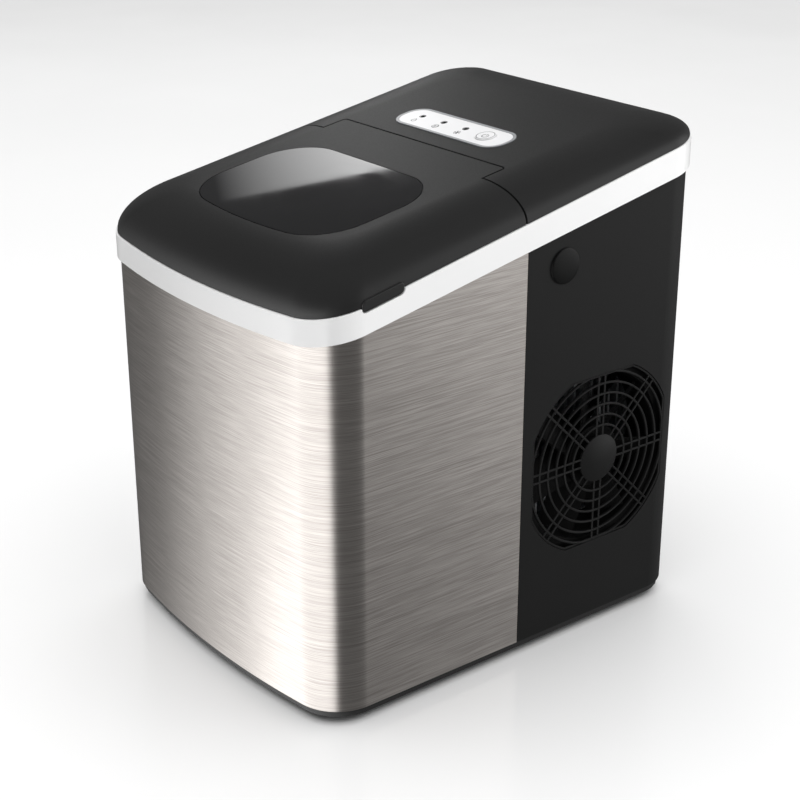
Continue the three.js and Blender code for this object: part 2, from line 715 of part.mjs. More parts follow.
function addTub() {
  const rimBottom = shifted(bandBottom, 2);
  const rimTop = shifted(bandBottom, 5);
  const rimRear = bayRear + rimDepth;
  const outline = (halfX, front, rear, radius) => roundedRectangle(-halfX, halfX, front, rear, radius);
  const tank = (grow) =>
    outline(tubHalfWidth + grow, tubFrontY - grow, tubRear + grow, tubRadius + grow);
  const bay = (grow) =>
    outline(bayHalfWidth + grow, -bayRear, bayRear + grow, bayRadius + grow);

  const well = raised(tank(0), tubFloor - tubWall, rimTop, 3);
  const bayBox = raised(bay(0), bayFloor - tubWall, rimTop, 3);
  const rim = raised(caseOutline(bandWall + gap), rimBottom, rimTop).intersect(
    block(-width, width, -depth, rimRear, 0, aboveAll),
  );
  const wellInside = raised(tank(-tubWall), tubFloor, shifted(rimTop, over), 3);
  const bayInside = raised(bay(-tubWall), bayFloor, shifted(rimTop, over), 3);

  let tub = join(well, bayBox, rim).subtract(wellInside).subtract(bayInside);
  const innerX = tubHalfWidth - tubWall;
  for (const side of [-1, 1]) {
    const x0 = side > 0 ? innerX - railDepth + 2 * over : -innerX - over;
    tub = tub.add(block(x0, x0 + railDepth - over, basket.front, basket.rear, railTop - railHeight, railTop));
  }
  // Bores for the tray shaft and the pusher shaft.
  const bore = (radius, half, { y, z }) => bar("x", radius + gap, 2 * (half + over), -half - over, y, z);
  tub = tub.subtract(bore(trayShaftRadius, bayHalfWidth, trayPivot));
  tub = tub.subtract(bore(pusherShaftRadius, tubHalfWidth, pusherPivot));
  // Way out for the refrigerant pipes, and the drain spout.
  const gateBottom = plate.bottom - 4;
  tub = tub.subtract(
    block(suctionX - 10, capillaryX + 10, bayRear - 8, rimRear + over, gateBottom, aboveAll),
  );
  tub = tub.add(bar("z", drain.radius, tubFloor - drain.bottom - over, drain.x, drain.y, drain.bottom));
  tub = tub.subtract(bar("z", drain.bore, tubFloor, drain.x, drain.y, drain.bottom - over));
  piece("inner_tub", tub, "greyPlastic");
}

function addDrain() {
  const capTop = panTop - gap;
  const { capRadius, plug } = drain;
  const profile = [
    [0, 1.2],
    [capRadius - 1, 1.2],
    [capRadius, 2.2],
    [capRadius, capTop],
    [drain.bore - gap, capTop],
    [drain.bore - gap, capTop + plug],
    [0, capTop + plug],
  ];
  let cap = solid(turned(profile));
  const groove = { half: 3, top: 4.5 }; // one on each side of the bar that the fingers turn
  for (const side of [-1, 1]) {
    const offset = (side * capRadius) / 2;
    const reach = capRadius + over;
    cap = cap.subtract(block(-reach, reach, offset - groove.half, offset + groove.half, 0, groove.top));
  }
  piece("drain_cap", cap, "whitePlastic").position.set(drain.x, drain.y, 0);

  const sealProfile = [
    [drain.bore, capTop + gap],
    [drain.radius, capTop + gap],
    [drain.radius, drain.bottom - gap],
    [drain.bore, drain.bottom - gap],
    [drain.bore, capTop + gap],
  ];
  piece("drain_seal", turned(sealProfile, 16), "rubber").position.set(drain.x, drain.y, 0);
}

// ---- Ice works ---------------------------------------------------------------------------------------

function addBasket() {
  const { front, rear, bottom, rim, rearRim, radius, lipEnd } = basket;
  const half = basketHalfWidth;
  const outline = (inset) =>
    roundedRectangle(inset - half, half - inset, front + inset, rear - inset, radius - inset);
  const outer = raised(outline(0), bottom, rim, 2);
  const inside = raised(outline(basketWall), bottom + basketWall, rim + over, 2);
  let body = outer.subtract(inside);
  const lipCut = block(lipEnd - half, half - lipEnd, rear - 4 * basketWall, rear + over, rearRim, rim + over);
  body = body.subtract(lipCut);
  const { count, halfWidth: slotHalf, halfLength, pitch, rise, height, margin } = basketSlot;
  const across = (2 * (half - margin)) / count;
  const floorTop = bottom + basketWall + over;
  const frontInside = front + basketWall + over;
  for (let i = 0; i < count; i += 1) {
    const x = margin - half + (i + 0.5) * across;
    for (let row = 0; row < 3; row += 1) {
      const y = front + 18 + row * pitch;
      const slot = block(x - slotHalf, x + slotHalf, y - halfLength, y + halfLength, bottom - over, floorTop);
      body = body.subtract(slot);
    }
    for (let row = 0; row < 2; row += 1) {
      const z = bottom + 24 + row * rise;
      body = body.subtract(block(x - slotHalf, x + slotHalf, front - over, frontInside, z, z + height));
    }
  }
  piece("ice_basket", body, "greyPlastic");
}

function addTray() {
  const { halfLength, front, rear, bottom, rim, wall } = tray;
  const outer = block(-halfLength, halfLength, front, rear, bottom, rim);
  const inside = block(
    wall - halfLength, halfLength - wall, front + wall, rear - wall, bottom + wall, rim + over,
  );
  let body = outer.subtract(inside);
  const earBottom = trayPivot.z - trayEar;
  const earTop = trayPivot.z + trayEar;
  for (const x0 of [-halfLength, -wall * 2, halfLength - wall * 4]) {
    body = body.add(block(x0, x0 + wall * 4, rear - over, trayPivot.y + trayEar, earBottom, earTop));
  }
  const bore = bar("x", trayShaftRadius + gap, 3 * halfLength, -1.5 * halfLength, trayPivot.y, trayPivot.z);
  piece("water_tray", body.subtract(bore), "whitePlastic");

  const start = -bayHalfWidth - 9; // inside the gearmotor
  const shaft = bar("x", trayShaftRadius, bayHalfWidth - gap - start, 0, 0, 0);
  piece("tray_shaft", shaft, "nickel").position.set(start, trayPivot.y, trayPivot.z);
}

function addPusher() {
  const { halfLength, reach, thickness, notch, bridge } = pusher;
  const { y, z } = pusherPivot;
  const bottom = z - reach;
  let paddle = block(-halfLength, halfLength, y - thickness / 2, y + thickness / 2, bottom, z);
  for (let i = -2; i < 2; i += 1) {
    const x = (i + 0.5) * fingerPitch;
    const cut = block(x - notch, x + notch, y - thickness, y + thickness, bottom - over, z - bridge);
    paddle = paddle.subtract(cut);
  }
  const hub = bar("x", pusherShaftRadius + pusher.hub, 2 * halfLength, -halfLength, y, z, 20);
  const bore = bar("x", pusherShaftRadius + gap, 2 * (halfLength + over), -halfLength - over, y, z, 20);
  piece("ice_pusher", paddle.add(hub).subtract(bore), "whitePlastic");

  const half = tubHalfWidth - gap;
  const shaft = bar("x", pusherShaftRadius, 2 * half, 0, 0, 0, 20);
  piece("pusher_shaft", shaft, "nickel").position.set(-half, y, z);
}

function addEvaporator() {
  const { halfLength, front, rear, bottom, top } = plate;
  const earReach = tubHalfWidth - tubWall - gap;
  let body = block(-halfLength, halfLength, front, rear, bottom, top);
  const { inset } = plateEar;
  body = body.add(block(-earReach, earReach, plateEar.front, plateEar.rear, bottom + inset, top - inset));
  const fingerProfile = [
    [0, fingerBottom],
    [fingerRadius - 2, fingerBottom],
    [fingerRadius - 0.6, fingerBottom + 2],
    [fingerRadius, bottom + over],
    [0, bottom + over],
  ];
  for (const { y, count } of fingerRows) {
    for (let i = 0; i < count; i += 1) {
      const x = (i - (count - 1) / 2) * fingerPitch;
      body = body.add(solid(turned(fingerProfile, 10).translate(x, y, 0)));
    }
  }
  piece("evaporator", body, "nickel");
}

function addIceSensors() {
  const innerX = tubHalfWidth - tubWall - gap;
  const { y, half, height, thickness } = sensor;
  const z = trayPivot.z;
  for (const [name, side] of [["ice_sensor_emitter", -1], ["ice_sensor_receiver", 1]]) {
    const x0 = side > 0 ? innerX - thickness : -innerX;
    const body = block(x0, x0 + thickness, y - half, y + half, z, z + height);
    const lensX = side > 0 ? x0 - over : x0 + thickness - over;
    const lens = bar("x", sensor.lens, 2 * over, lensX, y, z + height / 2, 16);
    piece(name, body.add(lens), "smokedPlastic");
  }
}

function addGearmotor() {
  const x1 = -bayHalfWidth - gap;
  const { thickness, length, below, above, canRadius, canDepth, canY } = gearmotor;
  const y0 = tubRear + 1;
  let body = block(x1 - thickness, x1, y0, y0 + length, trayPivot.z - below, trayPivot.z + above);
  const canX = x1 - thickness - canDepth;
  body = body.add(bar("x", canRadius, canDepth + over, canX, y0 + canY, trayPivot.z, 24));
  const socket = 9;
  body = body.subtract(bar("x", trayShaftRadius + gap, socket + over, x1 - socket, trayPivot.y, trayPivot.z));
  piece("tilt_gearmotor", body, "greyPlastic");
}

function addWaterPump() {
  const { x, y, half, height, motorRadius, motorTop, spout, spoutTop } = pump;
  const bottom = panTop + gap;
  const chamber = block(x - half, x + half, y - half, y + half, bottom, bottom + height);
  const motor = bar("z", motorRadius, motorTop - height + over, x, y, bottom + height - over, 28);
  const outlet = bar("z", spout, spoutTop - motorTop + over, x, y, bottom + motorTop - over, 16);
  piece("water_pump", join(chamber, motor, outlet), "blackPlastic");
  const start = bottom + spoutTop + gap;
  const end = bayFloor - tubWall - gap;
  const up = (share) => start + (end - start) * share;
  const route = [
    [x, y, start],
    [x, y, up(0.26)],
    [x + 6, y - 2, up(0.5)],
    [x, y, up(0.79)],
    [x, y, end],
  ];
  piece("pump_hose", tube(route, spout, 10), "greyPlastic");
}

// ---- Cooling works -----------------------------------------------------------------------------------

function addCompressor() {
  const { x, y, radius, bottom, top } = compressor;
  const height = top - bottom;
  const profile = [
    [0, 2],
    [radius * 0.75, 2],
    [radius * 0.93, 8],
    [radius, 22],
    [radius, height * 0.52],
    [radius + 2, height * 0.52],
    [radius + 2, height * 0.56],
    [radius, height * 0.56],
    [radius, height * 0.74],
    [radius * 0.86, height * 0.91],
    [radius * 0.5, height],
    [0, height],
  ];
  let body = solid(turned(profile, 24));
  const footRing = radius - leg.inset;
  const reach = footRing + leg.reach;
  const grommetTurn = (i) => (i * 2 * Math.PI) / leg.count + Math.PI / 6;
  for (let i = 0; i < leg.count; i += 1) {
    const arm = new THREE.BoxGeometry(reach, leg.width, leg.thickness);
    arm.translate(reach / 2, 0, leg.thickness / 2).rotateZ(grommetTurn(i));
    body = body.add(solid(arm));
  }
  piece("compressor", body, "paintedSteel").position.set(x, y, bottom);

  const floor = panTop + gap;
  const rubber = [
    [0, 0],
    [7, 0],
    [7, 2.5],
    [5.5, 3.5],
    [7, 4.5],
    [7, bottom - gap - floor],
    [0, bottom - gap - floor],
  ];
  for (let i = 0; i < leg.count; i += 1) {
    const turn = grommetTurn(i);
    const grommet = piece(`compressor_grommet_${i + 1}`, turned(rubber, 10), "rubber");
    grommet.position.set(x + footRing * Math.cos(turn), y + footRing * Math.sin(turn), floor);
  }
}

function addFan() {
  const half = fanFrameSize / 2;
  const turn = (geometry) => geometry.translate(0, fanY, fanZ);
  let frame = solid(turn(new THREE.BoxGeometry(fanFrameDepth, fanFrameSize, fanFrameSize)));
  frame = frame.translate([fanInnerX + fanFrameDepth / 2, 0, 0]);
  frame = frame.subtract(bar("x", fanBore, fanFrameDepth + 2 * over, fanInnerX - over, fanY, fanZ, 32));
  const strutDepth = fanStrut.depth;
  for (const angle of [Math.PI / 4, -Math.PI / 4]) {
    const strut = new THREE.BoxGeometry(strutDepth, fanStrut.width, 2 * fanBore + 4).rotateX(angle);
    frame = frame.add(solid(turn(strut)).translate([fanInnerX + strutDepth / 2, 0, 0]));
  }
  const motorDepth = strutDepth + 3;
  frame = frame.add(bar("x", fanMotorRadius, motorDepth, fanInnerX, fanY, fanZ, 28));
  // The space between the frame's two flanges, outside the round duct.
  const { thickness, cut, half: slotHalf } = fanFlange;
  for (const side of [-1, 1]) {
    const y0 = side > 0 ? fanY + half - cut : fanY - half - over;
    const x1 = fanOuterX - thickness;
    const slot = block(fanInnerX + thickness, x1, y0, y0 + cut + over, fanZ - slotHalf, fanZ + slotHalf);
    frame = frame.subtract(slot);
  }
  piece("fan_frame", frame, "blackPlastic");

  const rotor = new THREE.Group();
  rotor.position.set(fanInnerX + motorDepth + 2 * gap, fanY, fanZ);
  iceMaker.add(rotor);
  const hubLength = fanOuterX - rotor.position.x - 1;
  let wheel = bar("x", fanHubRadius, hubLength, 0, 0, 0, 28);
  const root = fanHubRadius - 2; // the blades start inside the hub
  for (let i = 0; i < blade.count; i += 1) {
    const vane = new THREE.BoxGeometry(blade.thickness, blade.chord, rotorRadius - root)
      .rotateZ(blade.pitch)
      .translate(hubLength / 2, 0, (rotorRadius + root) / 2)
      .rotateX((i * 2 * Math.PI) / blade.count);
    wheel = wheel.add(solid(vane));
  }
  piece("fan_rotor", wheel, "blackPlastic", rotor);
}

function addCondenser() {
  const { margin, fin, header } = condenser;
  const y0 = fanY - fanFrameSize / 2 + margin;
  const y1 = fanY + fanFrameSize / 2 - margin;
  const z0 = fanBottom + margin;
  let body = block(condenserX, fanInnerX - 2, y0, y1, z0, condenserTop);
  const pitch = (y1 - y0 - 2 * fin) / condenser.finCount;
  for (let i = 0; i < condenser.finCount; i += 1) {
    const y = y0 + 1.5 * fin + i * pitch;
    const y2 = y + pitch - fin;
    body = body.subtract(
      block(condenserX + header, fanInnerX, y, y2, z0 + margin, condenserTop - margin),
    );
  }
  piece("condenser", body, "aluminium");
}

// Discharge pipe from the compressor's shoulder over to the condenser's top.
function addDischargePipe() {
  const from = { x: compressor.x + 8, y: compressor.y + 16, z: compressor.top + 2 };
  const to = { x: condenserX + 6, y: from.y, z: condenserTop + gap };
  const turnZ = condenserTop + 34;
  const route = [
    [from.x, from.y, from.z],
    [from.x, from.y, condenserTop + 20],
    [from.x + 18, from.y, turnZ],
    [to.x - 18, to.y, turnZ],
    [to.x, to.y, condenserTop + 18],
    [to.x, to.y, to.z],
  ];
  piece("discharge_pipe", tube(route, pipeRadius, 18), "copper");
}

// Filter drier, with the hot gas valve beside it.
function addDrierAndValve() {
  const { radius, length, neck, bottom } = drier;
  const drierProfile = [
    [0, 0],
    [pipeRadius, 0],
    [neck, 6],
    [radius, 14],
    [radius, length - 14],
    [neck, length - 6],
    [pipeRadius, length],
    [0, length],
  ];
  piece("filter_drier", turned(drierProfile, 12), "copper").position.set(drierX, drierY, bottom);

  const { halfX, halfY } = valveCoil;
  const coil = block(-halfX, halfX, -halfY, halfY, valveCoil.bottom, valveCoil.top);
  const stem = bar("z", valve.radius, valve.height, 0, 0, 0, 16);
  piece("hot_gas_valve", coil.add(stem), "paintedSteel").position.set(drierX, drierY - 34, valve.bottom);
}

function addEvaporatorPipes() {
  const overWall = plate.bottom + 3;
  // The capillary runs from the drier up and over the tub's back wall to the evaporator.
  const top = drier.bottom + drier.length + gap;
  const capillary = [
    [drierX, drierY, top],
    [drierX, drierY, top + 60],
    [drierX - 10, drierY - 4, overWall - 15],
    [capillaryX + 14, bayRear + 26, overWall],
    [capillaryX, bayRear + 8, overWall],
    [capillaryX, bayRear - 20, overWall],
    [capillaryX, plate.rear + gap, overWall],
  ];
  piece("capillary_pipe", tube(capillary, capillaryRadius, 20, 3), "copper");

  // The suction pipe runs from the evaporator back down to the compressor.
  const suction = [
    [suctionX, plate.rear + gap, overWall],
    [suctionX, bayRear, overWall],
    [suctionX, bayRear + 14, overWall - 6],
    [suctionX, bayRear + 20, overWall - 30],
    [suctionX, compressor.y - 12, compressor.top + 40],
    [suctionX, compressor.y - 12, compressor.top + gap],
  ];
  piece("suction_pipe", tube(suction, pipeRadius, 18), "copper");
}

function addPowerBoard() {
  const { left, right, height, bottom, y } = powerBoard;
  const board = block(left, right, y, y + boardThickness, bottom, bottom + height);
  const rooted = y + boardThickness / 2; // parts are rooted in the board
  // Each block: its left edge and bottom edge on the board, then its width, height and depth.
  const blocks = [
    { name: "transformer", x: 5, z: 8, width: 28, height: 28, depth: 22 },
    { name: "pump relay", x: 43, z: 10, width: 12, height: 14, depth: 12 },
    { name: "compressor relay", x: 61, z: 10, width: 12, height: 16, depth: 14 },
    { name: "connector", x: 7, z: 44, width: 18, height: 14, depth: 9 },
  ];
  const capacitors = [
    { x: 47, radius: 7, length: 17 },
    { x: 65, radius: 5, length: 13 },
  ];
  const capacitorZ = bottom + 46;
  const parts = [
    ...blocks.map((part) => {
      const x = left + part.x;
      const z = bottom + part.z;
      return block(x, x + part.width, y - part.depth, rooted, z, z + part.height);
    }),
    ...capacitors.map(({ x, radius, length }) =>
      bar("y", radius, rooted - y + length, left + x, y - length, capacitorZ, 20),
    ),
  ];
  piece("power_board", join(board, ...parts), "board");
}

addBase();
addCaseTrim();
addPortCap();
addInlet();
addRearFittings();
addRearShell();
addGrille();
addLid();
addDeck();
addPanel();
addTub();
addDrain();
addBasket();
addTray();
addPusher();
addEvaporator();
addIceSensors();
addGearmotor();
addWaterPump();
addCompressor();
addFan();
addCondenser();
addDischargePipe();
addDrierAndValve();
addEvaporatorPipes();
addPowerBoard();

export default iceMaker;
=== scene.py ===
# Countertop ice maker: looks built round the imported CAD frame. Blender 4.5, metres, +Z up, -Y is the front.
import json
import math

import bpy
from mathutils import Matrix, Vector


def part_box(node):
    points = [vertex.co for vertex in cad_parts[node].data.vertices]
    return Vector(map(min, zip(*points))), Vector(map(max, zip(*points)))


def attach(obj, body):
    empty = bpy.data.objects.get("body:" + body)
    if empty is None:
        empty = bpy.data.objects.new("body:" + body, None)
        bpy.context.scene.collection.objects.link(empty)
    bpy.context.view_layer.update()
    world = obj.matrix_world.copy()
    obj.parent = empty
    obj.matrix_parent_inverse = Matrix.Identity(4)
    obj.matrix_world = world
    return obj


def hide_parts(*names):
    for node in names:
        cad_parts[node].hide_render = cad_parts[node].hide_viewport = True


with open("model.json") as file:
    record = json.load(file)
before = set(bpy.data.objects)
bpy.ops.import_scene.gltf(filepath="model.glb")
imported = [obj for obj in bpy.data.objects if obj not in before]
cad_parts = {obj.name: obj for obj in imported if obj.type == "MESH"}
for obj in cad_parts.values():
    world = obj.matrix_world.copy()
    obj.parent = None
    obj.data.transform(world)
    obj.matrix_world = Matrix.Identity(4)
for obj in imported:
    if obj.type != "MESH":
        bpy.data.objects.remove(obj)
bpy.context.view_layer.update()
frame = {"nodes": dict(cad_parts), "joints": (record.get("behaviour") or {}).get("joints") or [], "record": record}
mm = 0.001
fit = 0.3 * mm  # gap between pieces that touch

# plan of the case and the levels of its leaning top: (height at mid depth, rise per metre towards the back)
case = {
    "halfX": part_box("trim_band")[1].x,
    "halfY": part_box("trim_band")[1].y,
    "bow": 11 * mm,
    "frontRadius": 32 * mm,
    "rearRadius": 30 * mm,
    "inset": 2 * mm,
    "domeInset": 1 * mm,
    "shoulder": 40 * mm,
    "bottom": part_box("front_wrap")[0].z,
    "joint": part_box("front_wrap")[1].y + fit / 2,
    "bandBottom": (272.4 * mm, 0.2),
    "bandTop": (289.3 * mm, 0.21),
    "crown": (308.7 * mm, 0.175),
}


def level(surface, y):
    return case[surface][0] + case[surface][1] * y


def linear(hexColour):
    # an sRGB hex value as a linear colour
    parts = [int(hexColour[i : i + 2], 16) / 255 for i in (1, 3, 5)]
    return (*[p / 12.92 if p <= 0.04045 else ((p + 0.055) / 1.055) ** 2.4 for p in parts], 1)


def plug(owner, node, links):
    # links sockets, each given as (node, output); i0 and i1 are the first two, where names are shared
    for key, (source, output) in links.items():
        socket = node.inputs[int(key[1:]) if key in ("i0", "i1") else key]
        owner.node_tree.links.new(source.outputs[output], socket)


def addNode(owner, kind, settings=None, **links):
    # adds a node to a material or a lamp, sets its properties, sockets and colour stops, and links it
    node = owner.node_tree.nodes.new(kind)
    for key, value in (settings or {}).items():
        if key == "stops":
            elements = node.color_ramp.elements
            while len(elements) < len(value):
                elements.new(0.5)
            for element, (position, colour) in zip(elements, value):
                element.position = position
                element.color = linear(colour)
        elif hasattr(node, key):
            setattr(node, key, value)
        else:
            node.inputs[key].default_value = value
    plug(owner, node, links)
    return node


print("camera and light")
view = {
    "azimuth": 51.83,
    "elevation": 22.74,
    "distance": 1.0695,
    "aim": (0.0371, -0.0266, 0.160),
    "lens": 76.0,
    "sensor": 36,
    "farthest": 50,
}


def aimAt(obj, point):
    direction = Vector(point) - obj.location
    obj.rotation_euler = direction.to_track_quat("-Z", "Y").to_euler()


def around(azimuth, elevation, distance, aim):
    a = math.radians(azimuth)
    e = math.radians(elevation)
    toward = Vector((math.sin(a) * math.cos(e), -math.cos(a) * math.cos(e), math.sin(e)))
    return Vector(aim) + toward * distance


def addCamera():
    place = around(view["azimuth"], view["elevation"], view["distance"], view["aim"])
    bpy.ops.object.camera_add(location=place)
    camera = bpy.context.object
    camera.name = "studioCamera"
    camera.data.lens = view["lens"]
    camera.data.sensor_width = view["sensor"]
    camera.data.clip_end = view["farthest"]
    aimAt(camera, view["aim"])
    bpy.context.scene.camera = camera


# soft banks. place: where it stands round the machine, in degrees, degrees and metres. size: width and
# height in metres. power: watts. fade: its strength at the two ends of its width, and reach: how far
# along the width the second is reached. turn: degrees about its own axis. only: a "mirror" bank shows
# in glossy surfaces alone, and a "wash" bank lights the matt ones alone. sparesFloor: it stands partly
# below the floor's level, as the mirror banks do, and does not light the floor
banks = {
    "frontBank": {
        "place": (3, -22, 2.0), "size": (3.24, 3.4), "power": 88, "fade": (0.95, 1.0), "only": "mirror",
    },
    "leftBank": {
        "place": (-50, -22, 2.0), "size": (0.98, 3.4), "power": 28, "fade": (0.0, 1.0), "only": "mirror",
    },
    "sideBank": {
        "place": (140, 14, 2.4), "size": (2.6, 2.6), "power": 38, "fade": (0.0, 1.0), "reach": 0.3,
        "sparesFloor": True,
    },
    "windowBank": {
        "place": (242.8, 23.8, 2.28), "size": (0.5, 0.4), "power": 2.7, "fade": (1.3, 0.0), "reach": 0.8,
        "turn": -8.4,
    },
    "topBank": {
        "place": (180, 88, 5.0), "size": (12, 12), "power": 800, "fade": (1.0, 1.0), "only": "wash",
    },
}
world = {"strength": 0.2, "colour": (1.0, 1.0, 1.0)}


def addBank(name, bank):
    azimuth, elevation, distance = bank["place"]
    bpy.ops.object.light_add(type="AREA", location=around(azimuth, elevation, distance, view["aim"]))
    lamp = bpy.context.object
    lamp.name = name
    lamp.data.shape = "RECTANGLE"
    lamp.data.size, lamp.data.size_y = bank["size"]
    lamp.data.energy = bank["power"]
    aimAt(lamp, view["aim"])
    lamp.rotation_euler.rotate_axis("Z", math.radians(bank.get("turn", 0)))
    lamp.visible_glossy = bank.get("only") != "wash"
    lamp.visible_diffuse = bank.get("only") != "mirror"
    lamp.data.use_nodes = True
    low, high = bank["fade"]
    place = addNode(lamp.data, "ShaderNodeNewGeometry")
    split = addNode(lamp.data, "ShaderNodeSeparateXYZ", Vector=(place, "Parametric"))
    spread = addNode(
        lamp.data,
        "ShaderNodeMapRange",
        {"From Max": bank.get("reach", 1.0), "To Min": low, "To Max": high},
        Value=(split, "X"),
    )
    plug(lamp.data, lamp.data.node_tree.nodes["Emission"], {"Strength": (spread, "Result")})


def addLights():
    for name, bank in banks.items():
        addBank(name, bank)
    sky = bpy.data.worlds.new("studio")
    sky.use_nodes = True
    background = sky.node_tree.nodes["Background"]
    background.inputs["Color"].default_value = (*world["colour"], 1)
    background.inputs["Strength"].default_value = world["strength"]
    bpy.context.scene.world = sky
    bpy.context.scene.view_settings.view_transform = "Standard"


addCamera()
addLights()


def newMaterial(name, colour, roughness, metallic=0.0, **sockets):
    material = bpy.data.materials.new(name)
    material.use_nodes = True
    shader = material.node_tree.nodes["Principled BSDF"]
    shader.inputs["Base Color"].default_value = linear(colour)
    shader.inputs["Roughness"].default_value = roughness
    shader.inputs["Metallic"].default_value = metallic
    for socket, value in sockets.items():
        shader.inputs[socket.replace("_", " ")].default_value = value
    return material, shader


def moulded(name, colours, roughness, grain=0.9, bump=0.02, gloss=0.5):
    # injection moulded plastic: an even colour with a faint cloud in it, and a fine spark-eroded grain
    material, shader = newMaterial(name, colours[0], roughness[0], Specular_IOR_Level=gloss)
    place = addNode(material, "ShaderNodeTexCoord")
    cloud = addNode(material, "ShaderNodeTexNoise", {"Scale": 9.0, "Detail": 3.0}, Vector=(place, "Object"))
    colour = addNode(
        material, "ShaderNodeValToRGB", {"stops": [(0.3, colours[0]), (0.7, colours[1])]}, Fac=(cloud, "Fac")
    )
    fine = addNode(
        material, "ShaderNodeTexNoise", {"Scale": 1 / (grain * mm), "Detail": 2.0}, Vector=(place, "Object")
    )
    rough = addNode(
        material,
        "ShaderNodeMapRange",
        {"From Min": 0.3, "From Max": 0.7, "To Min": roughness[0], "To Max": roughness[1]},
        Value=(fine, "Fac"),
    )
    relief = addNode(
        material, "ShaderNodeBump", {"Strength": 0.35, "Distance": bump * mm}, Height=(fine, "Fac")
    )
    sockets = {"Base Color": (colour, "Color"), "Roughness": (rough, "Result"), "Normal": (relief, "Normal")}
    plug(material, shader, sockets)
    return material


def brushedSteel():
    # stainless sheet, brushed along its length with an abrasive belt: long fine scratches that run
    # round the case, which draw each highlight out upwards. The real scratches are a few hundredths
    # of a millimetre wide and are drawn about ten times as coarse, so that they show
    grain = {"fine": (22 * mm, 0.22 * mm), "broad": (50 * mm, 0.5 * mm), "cloud": (90 * mm, 22 * mm)}
    material, shader = newMaterial(
        "brushedStainless", "#a8a39f", 0.34, 1.0, Anisotropic=0.85, Anisotropic_Rotation=0.25
    )
    place = addNode(material, "ShaderNodeTexCoord")
    layers = []
    for length, width in grain.values():
        scale = (1 / length, 1 / length, 1 / width)
        mapping = addNode(material, "ShaderNodeMapping", {"Scale": scale}, Vector=(place, "Object"))
        detail = {"Scale": 1.0, "Detail": 2.0, "Roughness": 0.55}
        layers.append(addNode(material, "ShaderNodeTexNoise", detail, Vector=(mapping, "Vector")))
    fine, broad, cloud = layers
    scratches = addNode(material, "ShaderNodeMath", {"operation": "ADD"}, i0=(fine, "Fac"), i1=(broad, "Fac"))
    tone = addNode(
        material,
        "ShaderNodeMapRange",
        {"From Min": 0.78, "From Max": 1.22, "To Min": 0.0, "To Max": 1.0},
        Value=(scratches, "Value"),
    )
    tones = [(0.0, "#97928e"), (0.5, "#a8a39f"), (1.0, "#b9b4b0")]
    colour = addNode(material, "ShaderNodeValToRGB", {"stops": tones}, Fac=(tone, "Result"))
    polish = addNode(material, "ShaderNodeMath", {"operation": "ADD"}, i0=(tone, "Result"), i1=(cloud, "Fac"))
    rough = addNode(
        material,
        "ShaderNodeMapRange",
        {"From Min": 0.3, "From Max": 1.7, "To Min": 0.31, "To Max": 0.38},
        Value=(polish, "Value"),
    )
    relief = addNode(
        material, "ShaderNodeBump", {"Strength": 0.06, "Distance": 0.01 * mm}, Height=(tone, "Result")
    )
    tangent = addNode(material, "ShaderNodeTangent", {"direction_type": "RADIAL", "axis": "Z"})
    sockets = {"Base Color": (colour, "Color"), "Roughness": (rough, "Result"), "Normal": (relief, "Normal")}
    plug(material, shader, {**sockets, "Tangent": (tangent, "Tangent")})
    return material


def smokedPolycarbonate():
    # polished smoked polycarbonate: nearly black, mirror smooth, with faint wiping marks
    material, shader = newMaterial("smokedPolycarbonate", "#050506", 0.04, Specular_IOR_Level=0.3)
    place = addNode(material, "ShaderNodeTexCoord")
    marks = {"Scale": 18.0, "Detail": 5.0, "Distortion": 1.2}
    wipe = addNode(material, "ShaderNodeTexNoise", marks, Vector=(place, "Object"))
    rough = addNode(
        material,
        "ShaderNodeMapRange",
        {"From Min": 0.35, "From Max": 0.75, "To Min": 0.02, "To Max": 0.05},
        Value=(wipe, "Fac"),
    )
    tones = [(0.2, "#040405"), (0.8, "#060608")]
    colour = addNode(material, "ShaderNodeValToRGB", {"stops": tones}, Fac=(wipe, "Fac"))
    plug(material, shader, {"Base Color": (colour, "Color"), "Roughness": (rough, "Result")})
    return material


def plainMetal(name, colours, roughness, streak, anisotropic=0.0):
    # drawn, plated or rolled metal: a slight change of tone and of polish along its length
    material, shader = newMaterial(name, colours[0], roughness[0], 1.0, Anisotropic=anisotropic)
    place = addNode(material, "ShaderNodeTexCoord")
    mapping = addNode(material, "ShaderNodeMapping", {"Scale": streak}, Vector=(place, "Object"))
    drawn = {"Scale": 1.0, "Detail": 4.0, "Roughness": 0.6}
    noise = addNode(material, "ShaderNodeTexNoise", drawn, Vector=(mapping, "Vector"))
    colour = addNode(
        material, "ShaderNodeValToRGB", {"stops": [(0.3, colours[0]), (0.7, colours[1])]}, Fac=(noise, "Fac")
    )
    rough = addNode(
        material,
        "ShaderNodeMapRange",
        {"From Min": 0.3, "From Max": 0.7, "To Min": roughness[0], "To Max": roughness[1]},
        Value=(noise, "Fac"),
    )
    relief = addNode(
        material, "ShaderNodeBump", {"Strength": 0.2, "Distance": 0.02 * mm}, Height=(noise, "Fac")
    )
    sockets = {"Base Color": (colour, "Color"), "Roughness": (rough, "Result"), "Normal": (relief, "Normal")}
    plug(material, shader, sockets)
    return material


